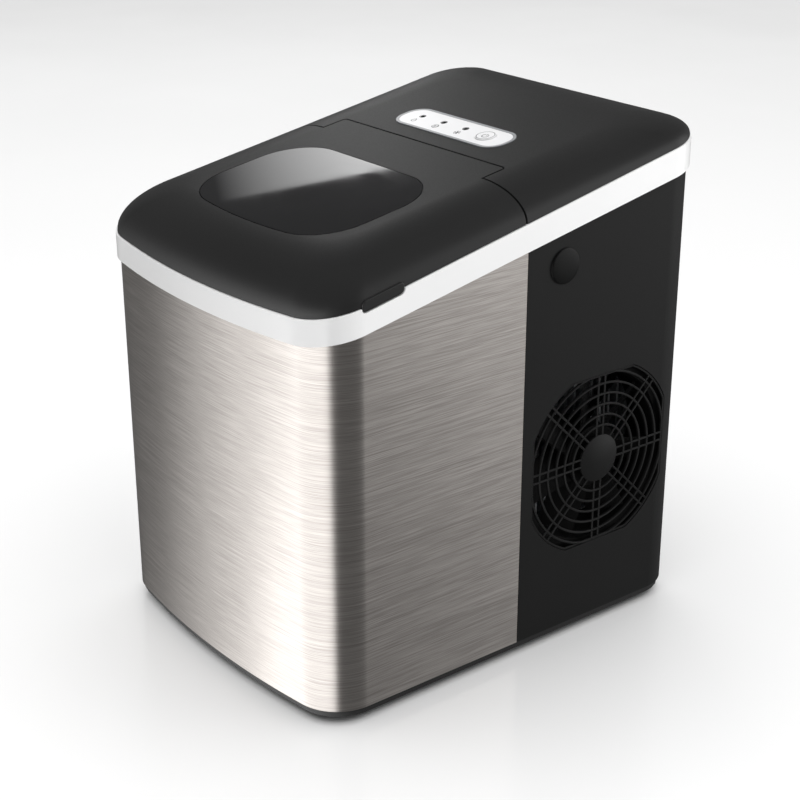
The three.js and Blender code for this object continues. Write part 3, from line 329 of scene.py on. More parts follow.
def laminate():
    # circuit board: green solder mask over glass cloth, with copper tracks showing through as lighter lines
    material, shader = newMaterial("solderMask", "#1e5a34", 0.35)
    place = addNode(material, "ShaderNodeTexCoord")
    pattern = {
        "Scale": 1.0, "Brick Width": 7 * mm, "Row Height": 2.4 * mm, "Mortar Size": 0.35 * mm,
        "Color1": linear("#1e5a34"), "Color2": linear("#1a5230"), "Mortar": linear("#2f7d4b"),
    }
    tracks = addNode(material, "ShaderNodeTexBrick", pattern, Vector=(place, "Object"))
    relief = addNode(
        material, "ShaderNodeBump", {"Strength": 0.3, "Distance": 0.03 * mm}, Height=(tracks, "Fac")
    )
    plug(material, shader, {"Base Color": (tracks, "Color"), "Normal": (relief, "Normal")})
    return material


print("materials")
# moulded plastics by slot: two near colours, the roughness range, the grain's size and depth in
# millimetres, and how much the surface mirrors. Rubber, hose and enamel are drawn the same way
plastics = {
    # ABS from a fine-grained tool: a soft satin black that mirrors little
    "shell_black": ("absSatinBlack", ("#101010", "#121212"), (0.5, 0.56), 0.9, 0.01, 0.22),
    # ABS from a coarser tool: a flat dark grey with hardly a highlight
    "base_black": ("absMattBlack", ("#161616", "#191919"), (0.55, 0.65), 1.0, 0.02, 0.5),
    # ABS with a silk finish: charcoal, with broad soft highlights along its bends
    "dome_charcoal": ("absSilkCharcoal", ("#181818", "#1b1b1b"), (0.42, 0.48), 0.9, 0.008, 0.34),
    # ABS from a polished tool: clean white with a clear gloss
    "band_white": ("absGlossWhite", ("#f1f1f1", "#ededed"), (0.16, 0.2), 2.0, 0.004, 0.5),
    # ABS, lightly grained: mid grey with a low sheen
    "panel_grey": ("absPanelGrey", ("#8a8c8e", "#848688"), (0.3, 0.36), 0.8, 0.008, 0.5),
    # polyester membrane: off-white and smooth, between matt and gloss
    "panel_white": ("membraneWhite", ("#d9d9da", "#d4d4d5"), (0.32, 0.38), 0.6, 0.006, 0.5),
    # tinted acrylic, polished: almost black, with a wet look
    "lens_dark": ("acrylicDark", ("#050506", "#09090b"), (0.08, 0.14), 3.0, 0.002, 0.5),
    # food-safe ABS: pale cool grey with a soft sheen
    "tub_plastic": ("absFoodGrey", ("#d3d6d8", "#cccfd1"), (0.34, 0.42), 1.2, 0.012, 0.5),
    # polypropylene: waxy white, a little uneven in its sheen
    "works_white": ("polypropyleneWhite", ("#e2e2de", "#d8d8d4"), (0.4, 0.48), 1.2, 0.015, 0.5),
    # glass-filled nylon: a dry black that mirrors next to nothing
    "works_black": ("nylonBlack", ("#090909", "#0b0b0b"), (0.6, 0.7), 0.7, 0.03, 0.15),
    # extruded silicone: milky and slightly waxy
    "hose_clear": ("siliconeHose", ("#c9c6bd", "#bdbab1"), (0.3, 0.4), 3.0, 0.01, 0.5),
    # moulded rubber: dull black with a dry grain
    "rubber": ("mouldedRubber", ("#171717", "#1c1c1c"), (0.7, 0.85), 0.8, 0.05, 0.5),
    # baked enamel on steel: black with a slightly wavy gloss
    "painted_steel": ("enamelBlack", ("#121213", "#171718"), (0.2, 0.3), 2.5, 0.03, 0.5),
}
looks = {slot: moulded(*finish) for slot, finish in plastics.items()}
looks["steel"] = brushedSteel()
looks["window_smoked"] = smokedPolycarbonate()
looks["circuit_board"] = laminate()
# nickel plate: bright, even and slightly warm
looks["nickel"] = plainMetal("nickelPlate", ("#cbc7be", "#bdb9b0"), (0.16, 0.28), (60, 60, 60))
# rolled aluminium: pale grey, with faint streaks the way it was rolled
looks["aluminium"] = plainMetal("rolledAluminium", ("#c4c6c8", "#b3b6b8"), (0.35, 0.5), (400, 30, 400), 0.4)
# drawn copper: reddish, a little tarnished from place to place
looks["copper"] = plainMetal("drawnCopper", ("#b87048", "#9c5a36"), (0.25, 0.4), (120, 120, 40))
# screen ink: flat grey print
printInk = moulded("screenInkGrey", ("#4c4e50", "#444648"), (0.45, 0.5), 0.6, 0.003)
# ABS, polished: deep black with a small soft highlight
capBlack = moulded("absPolishedBlack", ("#050505", "#060606"), (0.34, 0.4), 1.0, 0.006, 0.16)
slotOf = {part["node"]: part["material_slot"] for part in frame["record"]["subparts"]}


def clearSelection():
    if bpy.context.object and bpy.context.object.mode != "OBJECT":
        bpy.ops.object.mode_set(mode="OBJECT")
    bpy.ops.object.select_all(action="DESELECT")


def makeActive(obj):
    clearSelection()
    obj.select_set(True)
    bpy.context.view_layer.objects.active = obj


def settle(obj):
    # the object's place, turn and size go into its mesh
    makeActive(obj)
    bpy.ops.object.transform_apply(location=True, rotation=True, scale=True)


def modifier(obj, kind, **settings):
    makeActive(obj)
    bpy.ops.object.modifier_add(type=kind)
    added = obj.modifiers[-1]
    for key, value in settings.items():
        setattr(added, key, value)
    bpy.ops.object.modifier_apply(modifier=added.name)


def roundEdges(obj, width, segments=2, angle=35):
    modifier(
        obj,
        "BEVEL",
        width=width,
        segments=segments,
        limit_method="ANGLE",
        angle_limit=math.radians(angle),
        harden_normals=False,
    )


def smooth(obj, angle=38, weighted=True):
    makeActive(obj)
    bpy.ops.object.shade_smooth_by_angle(angle=math.radians(angle))
    if weighted:
        modifier(obj, "WEIGHTED_NORMAL", keep_sharp=True, weight=60)


def boolean(obj, cutters, operation="DIFFERENCE"):
    for cutter in cutters if isinstance(cutters, list) else [cutters]:
        modifier(obj, "BOOLEAN", operation=operation, object=cutter, solver="EXACT")
        mesh = cutter.data
        bpy.data.objects.remove(cutter)
        bpy.data.meshes.remove(mesh)


def finishPiece(obj, name, node, angle=38, weighted=True, look=None):
    # the piece stands in for one CAD node, which is hidden, and takes the node's body and the finish of its slot,
    # or the finish given
    settle(obj)
    smooth(obj, angle, weighted)
    obj.name = name
    obj.data.materials.clear()
    obj.data.materials.append(look or looks[slotOf[node]])
    body = next(b for b, members in frame["record"]["behaviour"]["bodies"].items() if node in members)
    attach(obj, body)
    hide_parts(node)


def addBox(low, high, name="box"):
    clearSelection()
    centre = [(a + b) / 2 for a, b in zip(low, high)]
    bpy.ops.mesh.primitive_cube_add(size=1, location=centre)
    obj = bpy.context.object
    obj.scale = [b - a for a, b in zip(low, high)]
    obj.name = name
    settle(obj)
    return obj


def addRod(axis, radius, low, high, centre, sides=64, name="rod"):
    # a round bar along an axis, from low to high on it, through the other two coordinates of centre
    clearSelection()
    turns = {"x": (0, math.pi / 2, 0), "y": (math.pi / 2, 0, 0), "z": (0, 0, 0)}
    place = list(centre)
    place["xyz".index(axis)] = (low + high) / 2
    bpy.ops.mesh.primitive_cylinder_add(
        vertices=sides, radius=radius, depth=high - low, location=place, rotation=turns[axis]
    )
    obj = bpy.context.object
    obj.name = name
    settle(obj)
    return obj


def startVertex(name, x, y, z=0.0):
    clearSelection()
    bpy.ops.mesh.primitive_plane_add(size=0.01, location=(x, y, z))
    obj = bpy.context.object
    obj.name = name
    settle(obj)
    bpy.ops.object.mode_set(mode="EDIT")
    bpy.ops.mesh.select_all(action="SELECT")
    bpy.ops.mesh.merge(type="CENTER")
    return obj


def spinArc(centre, angle, steps, axis=(0, 0, 1)):
    # anticlockwise for a positive angle
    bpy.ops.mesh.spin(steps=steps, angle=-angle, center=centre, axis=axis)


def extrudeBy(x, y, z):
    bpy.ops.mesh.extrude_region_move(TRANSFORM_OT_translate={"value": (x, y, z)})


def mergeAll(gap=0.01 * mm):
    bpy.ops.mesh.select_all(action="SELECT")
    bpy.ops.mesh.remove_doubles(threshold=gap)


def closeShape():
    # turns the faces outwards and leaves edit mode
    bpy.ops.mesh.select_all(action="SELECT")
    bpy.ops.mesh.normals_make_consistent(inside=False)
    bpy.ops.object.mode_set(mode="OBJECT")


def raisePrism(z0, z1):
    # the outline being drawn becomes a closed block between two heights
    mergeAll()
    bpy.ops.mesh.edge_face_add()
    bpy.ops.transform.translate(value=(0, 0, z0))
    extrudeBy(0, 0, z1 - z0)
    closeShape()


def caseOutline(name, inset, frontSteps=28, cornerSteps=14, sideCuts=1):
    # the case seen from above, drawn as one line of arcs and straights, and left in edit mode all selected
    halfX = case["halfX"] - inset
    halfY = case["halfY"] - inset
    front = case["frontRadius"] - inset
    rear = case["rearRadius"] - inset
    bowRadius = (halfX**2 + case["bow"] ** 2) / (2 * case["bow"])
    bowY = bowRadius - halfY
    cornerX = halfX - front
    cornerY = bowY - math.sqrt((bowRadius - front) ** 2 - cornerX**2)
    swing = math.atan2(cornerY - bowY, cornerX)
    startX = bowRadius * math.cos(math.pi + abs(swing))
    startY = bowY + bowRadius * math.sin(math.pi + abs(swing))
    obj = startVertex(name, startX, startY)
    spinArc((0, bowY, 0), 2 * (math.pi / 2 - abs(swing)), frontSteps)
    spinArc((cornerX, cornerY, 0), abs(swing), cornerSteps)
    run = (halfY - rear) - cornerY
    for _ in range(sideCuts):
        extrudeBy(0, run / sideCuts, 0)
    spinArc((halfX - rear, halfY - rear, 0), math.pi / 2, cornerSteps)
    across = 2 * (halfX - rear)
    extrudeBy(-across, 0, 0)
    spinArc((rear - halfX, halfY - rear, 0), math.pi / 2, cornerSteps)
    for _ in range(sideCuts):
        extrudeBy(0, -run / sideCuts, 0)
    spinArc((-cornerX, cornerY, 0), abs(swing), cornerSteps)
    mergeAll()
    bpy.ops.mesh.select_all(action="SELECT")
    return obj


def leanBetween(obj, low, high):
    # heights 0 to 1 become places between two leaning surfaces, each (level, rise)
    for vertex in obj.data.vertices:
        share = vertex.co.z
        bottom = low[0] + low[1] * vertex.co.y
        top = high[0] + high[1] * vertex.co.y
        vertex.co.z = bottom + (top - bottom) * share


def caseTube(name, insetOut, insetIn, low, high, **steps):
    # a wall of the case's outline between two insets and two leaning surfaces
    outer = caseOutline(name, insetOut, **steps)
    bpy.ops.object.mode_set(mode="OBJECT")
    inner = caseOutline(name + "Inner", insetIn, **steps)
    bpy.ops.object.mode_set(mode="OBJECT")
    clearSelection()
    inner.select_set(True)
    outer.select_set(True)
    bpy.context.view_layer.objects.active = outer
    bpy.ops.object.join()
    bpy.ops.object.mode_set(mode="EDIT")
    bpy.ops.mesh.select_all(action="SELECT")
    bpy.ops.mesh.bridge_edge_loops()
    bpy.ops.mesh.select_all(action="SELECT")
    extrudeBy(0, 0, 1)
    closeShape()
    leanBetween(outer, low, high)
    return outer


def roundedPrism(name, x0, x1, y0, y1, radius, z0, z1, steps=10):
    obj = startVertex(name, x1, y0 + radius)
    extrudeBy(0, y1 - y0 - 2 * radius, 0)
    spinArc((x1 - radius, y1 - radius, 0), math.pi / 2, steps)
    extrudeBy(-(x1 - x0 - 2 * radius), 0, 0)
    spinArc((x0 + radius, y1 - radius, 0), math.pi / 2, steps)
    extrudeBy(0, -(y1 - y0 - 2 * radius), 0)
    spinArc((x0 + radius, y0 + radius, 0), math.pi / 2, steps)
    extrudeBy(x1 - x0 - 2 * radius, 0, 0)
    spinArc((x1 - radius, y0 + radius, 0), math.pi / 2, steps)
    raisePrism(z0, z1)
    return obj


def turnedPiece(name, profile, axis, place, steps=64):
    # a profile of (radius, height) points spun round an axis through place, closed at both poles
    sides = {"x": ((0, 1, 0), (1, 0, 0)), "z": ((1, 0, 0), (0, 0, 1)), "y": ((0, 0, 1), (0, 1, 0))}
    radial, along = (Vector(v) for v in sides[axis])
    points = [Vector(place) + radial * r + along * h for r, h in profile]
    obj = startVertex(name, *points[0])
    for before, after in zip(points, points[1:]):
        extrudeBy(*(after - before))
    bpy.ops.mesh.select_all(action="SELECT")
    bpy.ops.mesh.spin(steps=steps, angle=2 * math.pi, center=place, axis=along)
    mergeAll()
    closeShape()
    return obj


def cutAt(obj, y, keepFront):
    # keeps the piece's part before or behind y and closes the cut
    makeActive(obj)
    bpy.ops.object.mode_set(mode="EDIT")
    bpy.ops.mesh.select_all(action="SELECT")
    bpy.ops.mesh.bisect(
        plane_co=(0, y, 0),
        plane_no=(0, 1, 0),
        use_fill=True,
        clear_outer=keepFront,
        clear_inner=not keepFront,
    )
    bpy.ops.object.mode_set(mode="OBJECT")


def joined(pieces):
    clearSelection()
    for one in pieces:
        one.select_set(True)
    bpy.context.view_layer.objects.active = pieces[0]
    bpy.ops.object.join()
    return pieces[0]


print("case walls")
wrap = {"thickness": 0.8 * mm, "edge": 0.25 * mm}
shell = {"thickness": 2.2 * mm, "edge": 0.5 * mm, "cut": 12 * mm}  # cut: how far cutters run past the wall
band = {"thickness": 5 * mm, "edge": 1.1 * mm}
raisedFloor = (case["bottom"], 0.0)
wallTop = (case["bandBottom"][0] - fit, case["bandBottom"][1])


def makeWrap():
    inset = case["inset"]
    obj = caseTube("wrap", inset, inset + wrap["thickness"], raisedFloor, wallTop, sideCuts=4)
    cutAt(obj, case["joint"] - fit / 2, True)
    roundEdges(obj, wrap["edge"], 2)
    finishPiece(obj, "steelWrap", "front_wrap")


grille = {
    "y": (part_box("fan_grille")[0].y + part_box("fan_grille")[1].y) / 2,
    "z": (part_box("fan_grille")[0].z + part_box("fan_grille")[1].z) / 2,
    "radius": 64 * mm,
    "half": 58 * mm,
    "hub": 15.9 * mm,
    "bar": 1.35 * mm,
    "firstRing": 22.5 * mm,
    "pitch": 7.15 * mm,
    "rings": 6,
    "spread": 5.4 * mm,
    "spokes": 8,
    "spokeInset": 0.6 * mm,
    "spokeSunk": 0.15 * mm,
    "borderSunk": 0.2 * mm,
    "edge": 0.3 * mm,
    "thickness": 1.8 * mm,
}
louvre = {
    "count": 9, "pitch": 9 * mm, "height": 4 * mm, "length": 80 * mm, "z": 70 * mm, "roundness": 0.49,
}
port = {
    "y": (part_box("side_port_cap")[0].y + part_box("side_port_cap")[1].y) / 2,
    "z": (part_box("side_port_cap")[0].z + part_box("side_port_cap")[1].z) / 2,
    "radius": 11.3 * mm,
    "stem": 9 * mm,
}


def grilleOpening(shrink, x0, x1):
    # a circle with its four sides cut flat
    obj = addRod("x", grille["radius"] - shrink, x0, x1, (0, grille["y"], grille["z"]), 96, "opening")
    half = grille["half"] - shrink
    keep = addBox(
        (x0 - mm, grille["y"] - half, grille["z"] - half), (x1 + mm, grille["y"] + half, grille["z"] + half)
    )
    boolean(obj, keep, "INTERSECT")
    return obj


def makeShell():
    inset = case["inset"]
    face = case["halfX"] - inset
    obj = caseTube("shell", inset, inset + shell["thickness"], raisedFloor, wallTop, sideCuts=4)
    cutAt(obj, case["joint"] + fit / 2, False)
    cut = shell["cut"]
    cutters = [grilleOpening(0, face - cut, face + cut)]
    cutters.append(addRod("x", port["stem"] + fit, face - cut, face + cut, (0, port["y"], port["z"]), 48))
    for i in range(louvre["count"]):
        z = louvre["z"] + i * louvre["pitch"]
        half = louvre["length"] / 2
        radius = louvre["height"] * louvre["roundness"]
        slot = roundedPrism("slot", -half, half, 0, louvre["height"], radius, -cut, cut, 6)
        slot.rotation_euler = (math.pi / 2, 0, math.pi / 2)
        slot.location = (-face, grille["y"], z)
        settle(slot)
        cutters.append(slot)
    low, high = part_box("mains_inlet")
    cutters.append(
        addBox((low.x - fit, high.y - cut, low.z - fit), (high.x + fit, high.y + cut, high.z + fit))
    )
    boolean(obj, cutters)
    roundEdges(obj, shell["edge"], 2)
    finishPiece(obj, "rearShell", "rear_shell")


def makeGrille():
    face = case["halfX"] - case["inset"] - fit
    back = face - grille["thickness"]
    centre = (0, grille["y"], grille["z"])
    bar = grille["bar"]
    edge = grille["edge"]

    def ring(radius, x0, x1):
        profile = [
            (radius - bar / 2, x0), (radius + bar / 2, x0), (radius + bar / 2, x1 - edge),
            (radius + bar / 2 - edge, x1), (radius - bar / 2 + edge, x1), (radius - bar / 2, x1 - edge),
            (radius - bar / 2, x0),
        ]
        return turnedPiece("ring", profile, "x", centre, 96)

    pieces = [ring(grille["firstRing"] + i * grille["pitch"], back, face) for i in range(grille["rings"])]
    boolean(pieces[-1], grilleOpening(fit, back - mm, face + mm), "INTERSECT")
    for i in range(grille["spokes"] // 2):
        for side in (-1, 1):
            offset = side * grille["spread"] / 2
            reach = grille["radius"] - grille["spokeInset"]
            spoke = addBox(
                (back + edge, grille["y"] + offset - bar / 2, grille["z"] - reach),
                (face - grille["spokeSunk"], grille["y"] + offset + bar / 2, grille["z"] + reach),
            )
            roundEdges(spoke, edge, 1)
            makeActive(spoke)
            bpy.ops.object.mode_set(mode="EDIT")
            bpy.ops.mesh.select_all(action="SELECT")
            bpy.ops.transform.rotate(
                value=i * 2 * math.pi / grille["spokes"], orient_axis="X", center_override=centre
            )
            bpy.ops.object.mode_set(mode="OBJECT")
            boolean(spoke, grilleOpening(fit, back - mm, face + mm), "INTERSECT")
            pieces.append(spoke)
    rods = joined(pieces)
    border = grilleOpening(fit, back, face - grille["borderSunk"])
    boolean(border, grilleOpening(fit + bar, back - mm, face + mm))
    roundEdges(border, 0.2 * mm, 1)
    r = grille["hub"]
    hubProfile = [(0, back), (r, back), (r, face - edge), (r - 0.4 * mm, face), (0, face)]
    hub = turnedPiece("hub", hubProfile, "x", centre, 96)
    finishPiece(joined([rods, border, hub]), "fanGuard", "fan_grille", weighted=False)


def makePortCap():
    face = case["halfX"] - case["inset"]
    r = port["radius"]
    profile = [
        (0, -3.2 * mm), (port["stem"] - 0.6 * mm, -3.2 * mm), (port["stem"], -2.6 * mm), (port["stem"], fit),
        (r - 0.3 * mm, fit), (r, 0.6 * mm), (r - 0.25 * mm, 1.0 * mm), (r - 0.9 * mm, 1.22 * mm),
        (r * 0.6, 1.5 * mm), (r * 0.3, 1.58 * mm), (0, 1.6 * mm),
    ]
    obj = turnedPiece("cap", profile, "x", (face, port["y"], port["z"]), 96)
    finishPiece(obj, "sidePortCap", "side_port_cap", angle=50, look=capBlack)


# finger grip on the lid's right edge and the notch it hangs in; heights are from the band's top
grip = {
    "front": -118 * mm, "rear": -89 * mm, "drop": 2.7 * mm, "rise": 4.2 * mm, "radius": 2.6 * mm,
    "seam": 0.5 * mm, "setIn": 1.3 * mm, "flush": 0.2 * mm, "edge": 0.9 * mm, "cut": (9 * mm, 30 * mm),
}


def gripPrism(name, grow, inner, outer, rise):
    # drawn as seen from the side and run along X, then leant like the band's top
    low = case["bandTop"][0] - grip["drop"] - grow
    obj = roundedPrism(
        name, grip["front"] - grow, grip["rear"] + grow, low, low + rise, grip["radius"] + grow,
        inner, outer, 8,
    )
    obj.rotation_euler = (math.pi / 2, 0, math.pi / 2)
    settle(obj)
    for vertex in obj.data.vertices:
        vertex.co.z += case["bandTop"][1] * vertex.co.y
    return obj


def makeBand():
    cuts = {"frontSteps": 40, "cornerSteps": 18, "sideCuts": 3}
    obj = caseTube("band", 0, band["thickness"], case["bandBottom"], case["bandTop"], **cuts)
    inner = case["halfX"] - band["thickness"] - mm
    past, tall = grip["cut"]
    boolean(obj, gripPrism("notch", grip["seam"], inner, case["halfX"] + past, tall))
    roundEdges(obj, band["edge"], 4, 50)
    finishPiece(obj, "trimBand", "trim_band")


makeWrap()
makeShell()
makeGrille()
makePortCap()
makeBand()

print("dome")
dome = {"wall": 3 * mm, "lip": 0.8 * mm, "rings": 18, "edge": 0.45 * mm, "under": -60 * mm}
lid = {
    "rear": 0.8 * mm,
    "tongueRear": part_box("lid_shell")[1].y,
    "tongueHalf": 79.5 * mm,
    "seam": 1.3 * mm,
    "cornerRadius": 2.2 * mm,
    "lift": 0.5 * mm,
    "seatRise": 3 * mm,
}
window = {
    "half": 73.3 * mm, "front": -118 * mm, "rear": -20 * mm, "radius": 34 * mm, "bow": 3 * mm,
    "bowShare": 0.75, "thickness": 1.6 * mm, "ledge": 4 * mm, "groove": 0.55 * mm, "edge": 0.3 * mm,
}
hingeAxis = next(joint for joint in frame["joints"] if joint["name"] == "lid_hinge")["pos_m"]
hingeBore = 2.3 * mm
# the lid's two hinge lugs and the deck's two hinge bosses
lug = {
    "half": 4 * mm, "drop": 4.2 * mm, "rise": 2.6 * mm, "width": 8 * mm, "side": 0.2 * mm, "edge": 0.6 * mm,
}
boss = {
    "half": 4.4 * mm, "drop": 4.5 * mm, "rise": 2.4 * mm, "width": 9 * mm, "side": 0.1 * mm, "edge": 0.5 * mm,
}


def domeSolid(name, lower, floorLift):
    # lip, then rings on a quarter ellipse up to the crown, each ring the outline drawn in towards the middle
    inset = case["domeInset"]
    halfX = case["halfX"] - inset
    halfY = case["halfY"] - inset
    obj = caseOutline(name, inset, frontSteps=44, cornerSteps=20, sideCuts=10)
    bpy.ops.mesh.edge_face_add()
    scales = []
    for i in range(dome["rings"] + 1):
        turn = i / dome["rings"] * math.pi / 2
        inward = lower + case["shoulder"] * (1 - math.cos(turn))
        scales.append((1 - inward / halfX, 1 - inward / halfY))
    bpy.ops.transform.resize(value=(*scales[0], 1), center_override=(0, 0, 0))
    last = scales[0]
    for i, scale in enumerate(scales):
        extrudeBy(0, 0, 1)
        bpy.ops.transform.resize(
            value=(scale[0] / last[0], scale[1] / last[1], 1), center_override=(0, 0, i + 1)
        )
        last = scale
    closeShape()
    for vertex in obj.data.vertices:
        ring = round(vertex.co.z)
        y = vertex.co.y
        start = level("bandTop", y) + dome["lip"]
        if ring == 0:
            vertex.co.z = level("bandTop", y) + floorLift
        else:
            share = math.sin((ring - 1) / dome["rings"] * math.pi / 2)
            vertex.co.z = start + (level("crown", y) - lower - start) * share
    return obj


def lidCutter(name, grow):
    # everything over the lid's part of the case: the front, and the tongue at the back
    far = 0.4
    low = 0.1
    high = 0.6
    root = -60 * mm
    obj = addBox((-far, -far, low), (far, lid["rear"] + grow, high), name)
    half = lid["tongueHalf"] + grow
    radius = lid["cornerRadius"] + grow
    tongue = roundedPrism(
        "tongue", -half, half, root, lid["tongueRear"] + grow, radius, low, high, 6
    )
    boolean(obj, tongue, "UNION")
    return obj


def windowPrism(name, inset, z0=0.15, z1=0.45):
    x = window["half"] - inset
    r = window["radius"] - inset
    front = window["front"] + window["radius"] + window["bow"]
    rear = window["rear"] - window["radius"]
    obj = startVertex(name, x, front)
    extrudeBy(0, rear - front, 0)
    spinArc((x - r, rear, 0), math.pi / 2, 16)
    extrudeBy(-2 * (x - r), 0, 0)
    spinArc((r - x, rear, 0), math.pi / 2, 16)
    extrudeBy(0, front - rear, 0)
    # the front edge bows out between two round corners
    chord = x - r * window["bowShare"]
    sweep = math.pi / 2 - math.atan2(2 * window["bow"], chord)
    spinArc((r - x, front, 0), sweep, 14)
    tip = Vector((r - x + r * math.cos(math.pi + sweep), front + r * math.sin(math.pi + sweep)))
    lean = math.pi / 2 - sweep
    bowRadius = -tip.x / math.sin(lean)
    bowCentre = tip.y + bowRadius * math.cos(lean)
    spinArc((0, bowCentre, 0), 2 * lean, 16)
    spinArc((x - r, front, 0), sweep, 14)
    raisePrism(z0, z1)
    return obj


def addEar(obj, ear, span, bore):
    # a block round the hinge's axis over a span of x, bored for the pin and joined to its piece
    block = addBox(
        (span[0], hingeAxis[1] - ear["half"], hingeAxis[2] - ear["drop"]),
        (span[1], hingeAxis[1] + ear["half"], hingeAxis[2] + ear["rise"]),
    )
    roundEdges(block, ear["edge"], 2)
    boolean(block, addRod("x", hingeBore, *bore, hingeAxis, 32))
    boolean(obj, block, "UNION")


def makeTab():
    inner = case["halfX"] - band["thickness"] - mm + grip["setIn"]
    tab = gripPrism("tab", 0, inner, case["halfX"] - grip["flush"], grip["drop"] + grip["rise"])
    roundEdges(tab, grip["edge"], 3)
    return tab


def makeLid():
    obj = domeSolid("lidSkin", 0, lid["lift"])
    boolean(obj, domeSolid("lidInner", dome["wall"], dome["under"]))
    boolean(obj, lidCutter("lidPart", 0), "INTERSECT")
    seat = domeSolid("seatOuter", -lid["seatRise"], lid["lift"])
    boolean(seat, domeSolid("seatInner", window["thickness"] + fit, dome["under"]))
    boolean(seat, windowPrism("seatPrism", 0), "INTERSECT")
    boolean(obj, seat)
    boolean(obj, windowPrism("through", window["ledge"]))
    for side in (-1, 1):
        x0 = side * lid["tongueHalf"] - (lug["width"] if side > 0 else 0)
        span = (x0 + lug["side"], x0 + lug["width"] - lug["side"])
        addEar(obj, lug, span, (x0 - mm, x0 + lug["width"] + mm))
    boolean(obj, makeTab(), "UNION")
    roundEdges(obj, dome["edge"], 2, 40)
    finishPiece(obj, "lidShell", "lid_shell")

    pane = domeSolid("pane", 0, lid["lift"])
    boolean(pane, domeSolid("paneInner", window["thickness"], dome["under"]))
    boolean(pane, windowPrism("panePrism", window["groove"]), "INTERSECT")
    roundEdges(pane, window["edge"], 2, 40)
    finishPiece(pane, "lidWindow", "lid_window")


panel = {
    "y": 47 * mm, "width": 102.4 * mm, "depth": 27.4 * mm, "radius": 12 * mm, "skirt": 8.2 * mm,
    "proud": 0.5 * mm, "rim": 2 * mm, "face": 1 * mm, "wall": 1.8 * mm, "floor": 3.2 * mm,
    "overlap": 0.15 * mm, "below": 0.1 * mm, "cut": 9 * mm, "open": 20 * mm,
}
tilt = math.atan(case["crown"][1])


def onPanel(obj):
    # from the panel's own flat frame to its place on the leaning deck
    obj.rotation_euler = (tilt, 0, 0)
    obj.location = (0, panel["y"], level("crown", panel["y"]))
    settle(obj)
    return obj


def panelPrism(name, grow, z0, z1):
    halfX = panel["width"] / 2 + grow
    halfY = panel["depth"] / 2 + grow
    return roundedPrism(name, -halfX, halfX, -halfY, halfY, panel["radius"] + grow, z0, z1, 14)


def makeDeck():
    obj = domeSolid("deckSkin", 0, fit)
    boolean(obj, domeSolid("deckInner", dome["wall"], dome["under"]))
    boolean(obj, lidCutter("deckPart", lid["seam"]))
    boolean(obj, onPanel(panelPrism("panelHole", fit, -panel["cut"], panel["cut"])))
    for side in (-1, 1):
        inner = side * (lid["tongueHalf"] + lid["seam"])
        x0 = inner if side > 0 else inner - boss["width"]
        pinLow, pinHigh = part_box("hinge_pin_right" if side > 0 else "hinge_pin_left")
        span = (x0 + boss["side"], x0 + boss["width"])
        addEar(obj, boss, span, (pinLow.x - fit, pinHigh.x + fit))
    roundEdges(obj, dome["edge"], 2, 40)
    finishPiece(obj, "rearDeck", "rear_deck")


makeLid()
makeDeck()

print("control panel")
controls = {
    "leds": (-35 * mm, -13.3 * mm, 8.4 * mm), "ledY": 2.2 * mm, "ledRadius": 1.6 * mm,
    "buttonX": 30.2 * mm, "buttonRadius": 6.8 * mm, "buttonRise": 0.7 * mm, "gap": 0.18 * mm,
    "depth": 14 * mm,
}


def panelRods(grow):
    # cutters for the lens holes and the button's hole
    reach = (-controls["depth"], panel["cut"])
    radius = controls["ledRadius"] + grow
    rods = [addRod("z", radius, *reach, (x, controls["ledY"], 0), 32) for x in controls["leds"]]
    rods.append(addRod("z", controls["buttonRadius"] + grow, *reach, (controls["buttonX"], 0, 0), 64))
    return rods


def makePanel():
    bezel = panelPrism("bezel", 0, -panel["skirt"], panel["proud"])
    boolean(bezel, panelPrism("recess", -panel["rim"], -panel["face"], panel["cut"]))
    boolean(bezel, panelPrism("under", -panel["wall"], -panel["open"], -panel["floor"]))
    boolean(bezel, panelRods(fit))
    roundEdges(bezel, 0.35 * mm, 3, 40)
    finishPiece(onPanel(bezel), "panelBezel", "panel_bezel")

    top = panel["proud"] - panel["below"]
    face = panelPrism("face", -panel["rim"] - panel["overlap"], fit - panel["face"], top)
    boolean(face, panelRods(controls["gap"]))
    roundEdges(face, 0.2 * mm, 2, 40)
    finishPiece(onPanel(face), "panelOverlay", "panel_overlay")

    r = controls["buttonRadius"]
    top = panel["proud"] + controls["buttonRise"]
    profile = [
        (0, -4.9 * mm), (2 * mm, -4.9 * mm), (2 * mm, -2.6 * mm), (r, -2.6 * mm), (r, top - 0.7 * mm),
        (r - 0.15 * mm, top - 0.3 * mm), (r - 0.45 * mm, top), (r - 1.2 * mm, top),
        (r - 1.6 * mm, top - 0.2 * mm), (r * 0.4, top - 0.3 * mm), (0, top - 0.35 * mm),
    ]
    button = turnedPiece("button", profile, "z", (controls["buttonX"], 0, 0), 64)
    finishPiece(onPanel(button), "powerButton", "power_button", angle=50)

    led = controls["ledRadius"]
    proud = panel["proud"]
    profile = [
        (0, -6.1 * mm), (led, -6.1 * mm), (led, proud - 0.3 * mm), (led * 0.8, proud),
        (led * 0.4, proud + 0.2 * mm), (0, proud + 0.25 * mm),
    ]
    for i, x in enumerate(controls["leds"]):
        lens = turnedPiece("lens", profile, "z", (x, controls["ledY"], 0), 32)
        finishPiece(onPanel(lens), f"statusLens{i + 1}", f"status_led_{i + 1}", angle=60)


# printed signs before the lenses: a drop for water, a cube for a full basket, a snowflake for freezing;
# "powerGap" is half the opening of the power sign, in degrees
signs = {
    "y": -5.2 * mm, "size": 2.5 * mm, "stroke": 0.5 * mm, "height": 0.05 * mm, "ring": 0.45 * mm,
    "ringInset": 1.05 * mm, "lensRing": 0.5 * mm, "sunk": 0.1 * mm, "weld": 0.002 * mm,
    "ringLift": 0.67 * mm, "powerLift": 0.4 * mm, "powerGap": 35,
}


